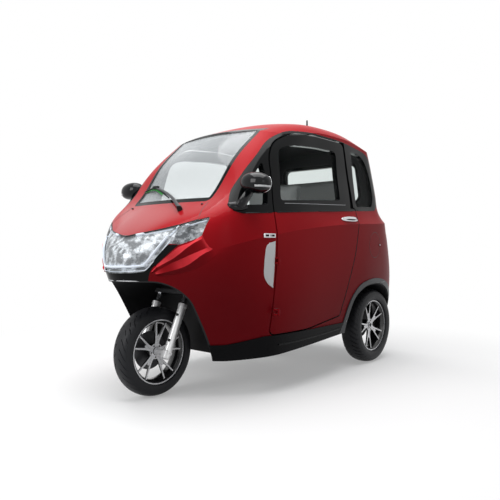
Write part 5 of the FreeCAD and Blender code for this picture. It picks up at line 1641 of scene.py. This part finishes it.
@dataclass
class Details:
    """Seams, lines, trims, plaques, flap, nozzles and aerial on the skin."""

    front: Skin
    left: Skin
    thin_lines: tuple[tuple[str, str, str, Finish, float, float, float, Line], ...] = (
        ("hood_seam", "front", "root", SATIN_BLACK, 0.0032, 0.0006, 0.0, (
            (343, -12, 900), (330, 14, 928), (312, 50, 958), (304, 94, 992))),
        # A dark strip along the hood's lip over the lamp: partly the seam, partly a painted shadow of the
        # lip.
        ("hood_lip_seam", "front", "root", SATIN_BLACK, 0.0046, 0.0018, 0.0006, (
            (0, -187, 828), (117, -149, 840), (190, -117, 853), (254, -78, 870), (313, -36, 889),
            (343, -12, 900))),
        ("grille_chrome_line", "front", "root", CHROME, 0.0045, 0.0018, 0.0, (
            (0, -238, 600), (43, -238, 601), (90, -215, 600), (126, -187, 599))),
        ("door_glass_run", "band", "door_{side}", TRIM_LINE, 0.0040, 0.0016, 0.0, (
            (508, 452, 996), (506, 640, 1003), (505, 860, 1012), (504, 1066, 1021))),
        ("front_belt_bead", "band", "root", GLOSS_BLACK, 0.0060, 0.0020, 0.0, (
            (440, 66, 926), (474, 120, 927), (504, 272, 938), (510, 345, 942))),
        ("door_belt_bead", "band", "door_{side}", GLOSS_BLACK, 0.0060, 0.0020, 0.0, (
            (514, 382, 945), (521, 572, 956), (513, 993, 982), (508, 1150, 991))),
        ("rear_belt_bead", "band", "root", GLOSS_BLACK, 0.0060, 0.0020, 0.0, (
            (502, 1215, 996), (495, 1320, 1003), (488, 1434, 1011))),
        # A pale line on the arch trim's outer edge: a painted highlight.
        ("arch_edge_line", "arch", "root", TRIM_LINE, 0.0030, 0.0012, 0.0, (
            (505, 1064, 312), (515, 1131, 392), (524, 1239, 471), (523, 1398, 526), (502, 1607, 534))))
    vent_front: Line = ((528, 300, 790), (525, 276, 760), (520, 274, 640), (516, 300, 592), (512, 338, 566))
    vent_back: Line = ((528, 346, 800), (520, 346, 700), (512, 346, 562))
    plaque: Pair = (0.300, 0.826)
    slots: tuple[Pair, ...] = ((-0.036, -0.008), (0.002, 0.010), (0.014, 0.036))
    sill_start: float = 0.42
    sill_long: float = 0.58
    sill_height: float = 0.262
    flap: Pair = (1.399, 0.780)
    flap_radius: float = 0.082
    lock: Pair = (1.470, 0.780)
    nozzle: Place = (278, 78, 983)

    def lines(self) -> None:
        """Thin lines on both sides: name, skin, body, finish, width, height, lift and places."""
        skins = {"front": self.front, "arch": Skin("rear_arch_trims"),
                 "band": Skin("door_left_frame", "front_quarter_trims", "rear_quarter_trims")}
        for name, skin, body, finish, wide, high, lift, line in self.thin_lines:
            run = [skins[skin].near(point, lift) for point in course(line)]
            ups = [skins[skin].normal(point) for point in run]
            section = strip_section(wide, high)
            both(name + "_{side}", finish, lambda work: work.drawn(run, section, ups), body)

    def vent(self, work: Work) -> None:
        """The tall pale trim ahead of the door.

        Args:
            work: the piece.
        """
        rows = [course(self.vent_front), [at(place) for place in self.vent_back]]
        work.lofted(rows, 40, 6, lambda point, along, across: self.left.near(
            point, 0.0006 + 0.0035 * min(across * 8, (1 - across) * 8, 1.0)))

    def plaques(self) -> None:
        """The small chrome plaques with dark slots, left blank."""
        middle = self.left.from_side(*self.plaque, 0.001)
        both("side_plaque_{side}", CHROME, lambda work: work.box(
            middle + Vector((-0.004, -0.046, -0.011)), middle + Vector((0.0035, 0.046, 0.011)), 0.0030))
        both("plaque_slots_{side}", GLOSS_BLACK, lambda work: [work.box(
            middle + Vector((0.0020, start, -0.0055)), middle + Vector((0.0042, end, 0.0055)), 0.0008)
            for start, end in self.slots])

    def sill_ribs(self) -> None:
        """A rounded rib along each sill."""
        skin = Skin("sills")
        rib = [skin.from_side(
            self.sill_start + self.sill_long * step / 8, self.sill_height + 0.020 * (step / 8) ** 2)
            for step in range(9)]
        section = ellipse(0.0055, 0.0055)
        both("sill_rib_{side}", GLOSS_BLACK, lambda work: work.drawn(eased(rib, 6), section, OUT))

    def round_flap(self) -> None:
        """The seam and the lock of the round flap on the left rear quarter."""
        skin = Skin("side_frame_left")
        turns = [math.tau * step / 60 for step in range(61)]
        ring = [skin.from_side(self.flap[0] + self.flap_radius * math.cos(turn),
                               self.flap[1] + self.flap_radius * math.sin(turn)) for turn in turns]
        seam = Work("flap_seam")
        seam.drawn(ring, strip_section(0.0022, 0.0005), [skin.normal(point) for point in ring])
        seam.finished(SATIN_BLACK)
        for name, finish, start, end, wide, tip, segments in (
                ("flap_lock", RED, -0.002, 0.0035, 0.0095, 0.0085, 28),
                ("flap_lock_core", CHROME, 0.002, 0.0042, 0.0048, 0.0044, 20)):
            work = Work(name)
            work.cylinder(OUT * start, OUT * end, wide, tip, segments)
            work.placed(skin.seat(*self.lock))
            work.finished(finish)

    def aerial(self) -> None:
        """A short black cone with a foot, over the CAD piece's own place."""
        corners = [Vector(corner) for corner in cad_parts["aerial"].bound_box]
        low = Vector([min(corner[axis] for corner in corners) for axis in range(3)])
        high = Vector([max(corner[axis] for corner in corners) for axis in range(3)])
        foot = Vector(((low.x + high.x) / 2, (low.y + high.y) / 2, low.z))
        work = Work("aerial_cone")
        work.cylinder(foot, Vector((foot.x, foot.y, high.z)), 0.0105, 0.0050, 20)
        work.cylinder(foot, foot + UP * 0.010, 0.017, 0.011, 24)
        work.finished(SATIN_BLACK, replaces=["aerial"])

    def build(self) -> None:
        """Make them all."""
        self.aerial()
        self.lines()
        both("vent_trim_{side}", PALE_TRIM, self.vent, outward=False)
        self.plaques()
        self.sill_ribs()
        self.round_flap()
        nozzle = Skin("hood", "side_frame_left").near(at(self.nozzle)) + UP * 0.001
        both("washer_nozzle_{side}", SATIN_BLACK, lambda work: work.pebble((0.007, 0.007, 0.004), nozzle))


def wheels() -> None:
    """Make the three tyres and rims."""
    front = (0.0, AXLE_STATION, 0.2295)
    Tyre("front_tread_tyre", "front_tyre", "front_wheel", front, 0.055).build()
    Rim("front_alloy", "front_rim", "front_wheel", front, 0.045, dish=0.018, phase=10.0).build()
    for side in Side:
        body = "rear_wheel_" + side.word
        Tyre(
            "rear_tread_tyre_" + side.word, "rear_tyre_" + side.word, body,
            (0.422 * side.value, REAR_AXLE, 0.2435), 0.065, bead_half=0.046, grooves=44, rows_each=4,
            sweep=0.16).build()
        Rim("rear_alloy_" + side.word, "rear_rim_" + side.word, body, (0.422, REAR_AXLE, 0.2435), 0.050,
            side=side).build()


def main() -> None:
    """Dress the whole car."""
    logging.basicConfig(level=logging.INFO, format="%(message)s")
    Stage().build()
    paint_frame()
    wheels()
    front_skin = Skin("side_frame_left", "side_frame_right", "hood", "headlamp_lens", "lower_grille")
    Headlamp(front_skin).build()
    FenderRidges(front_skin).build()
    DoorMirror(Side.LEFT, (522, 205, 1078)).build()
    DoorMirror(Side.RIGHT, (522, 265, 1108)).build()
    Wiper(Skin("windscreen", "windscreen_seal", "hood")).build()
    DoorHandle(Skin("door_left_panel", "door_left_frame")).build()
    Hinges().build()
    Seats().build()
    ForkDress().build()
    Details(front_skin, Skin("side_frame_left", "door_left_panel")).build()


if __name__ == "__main__":
    main()
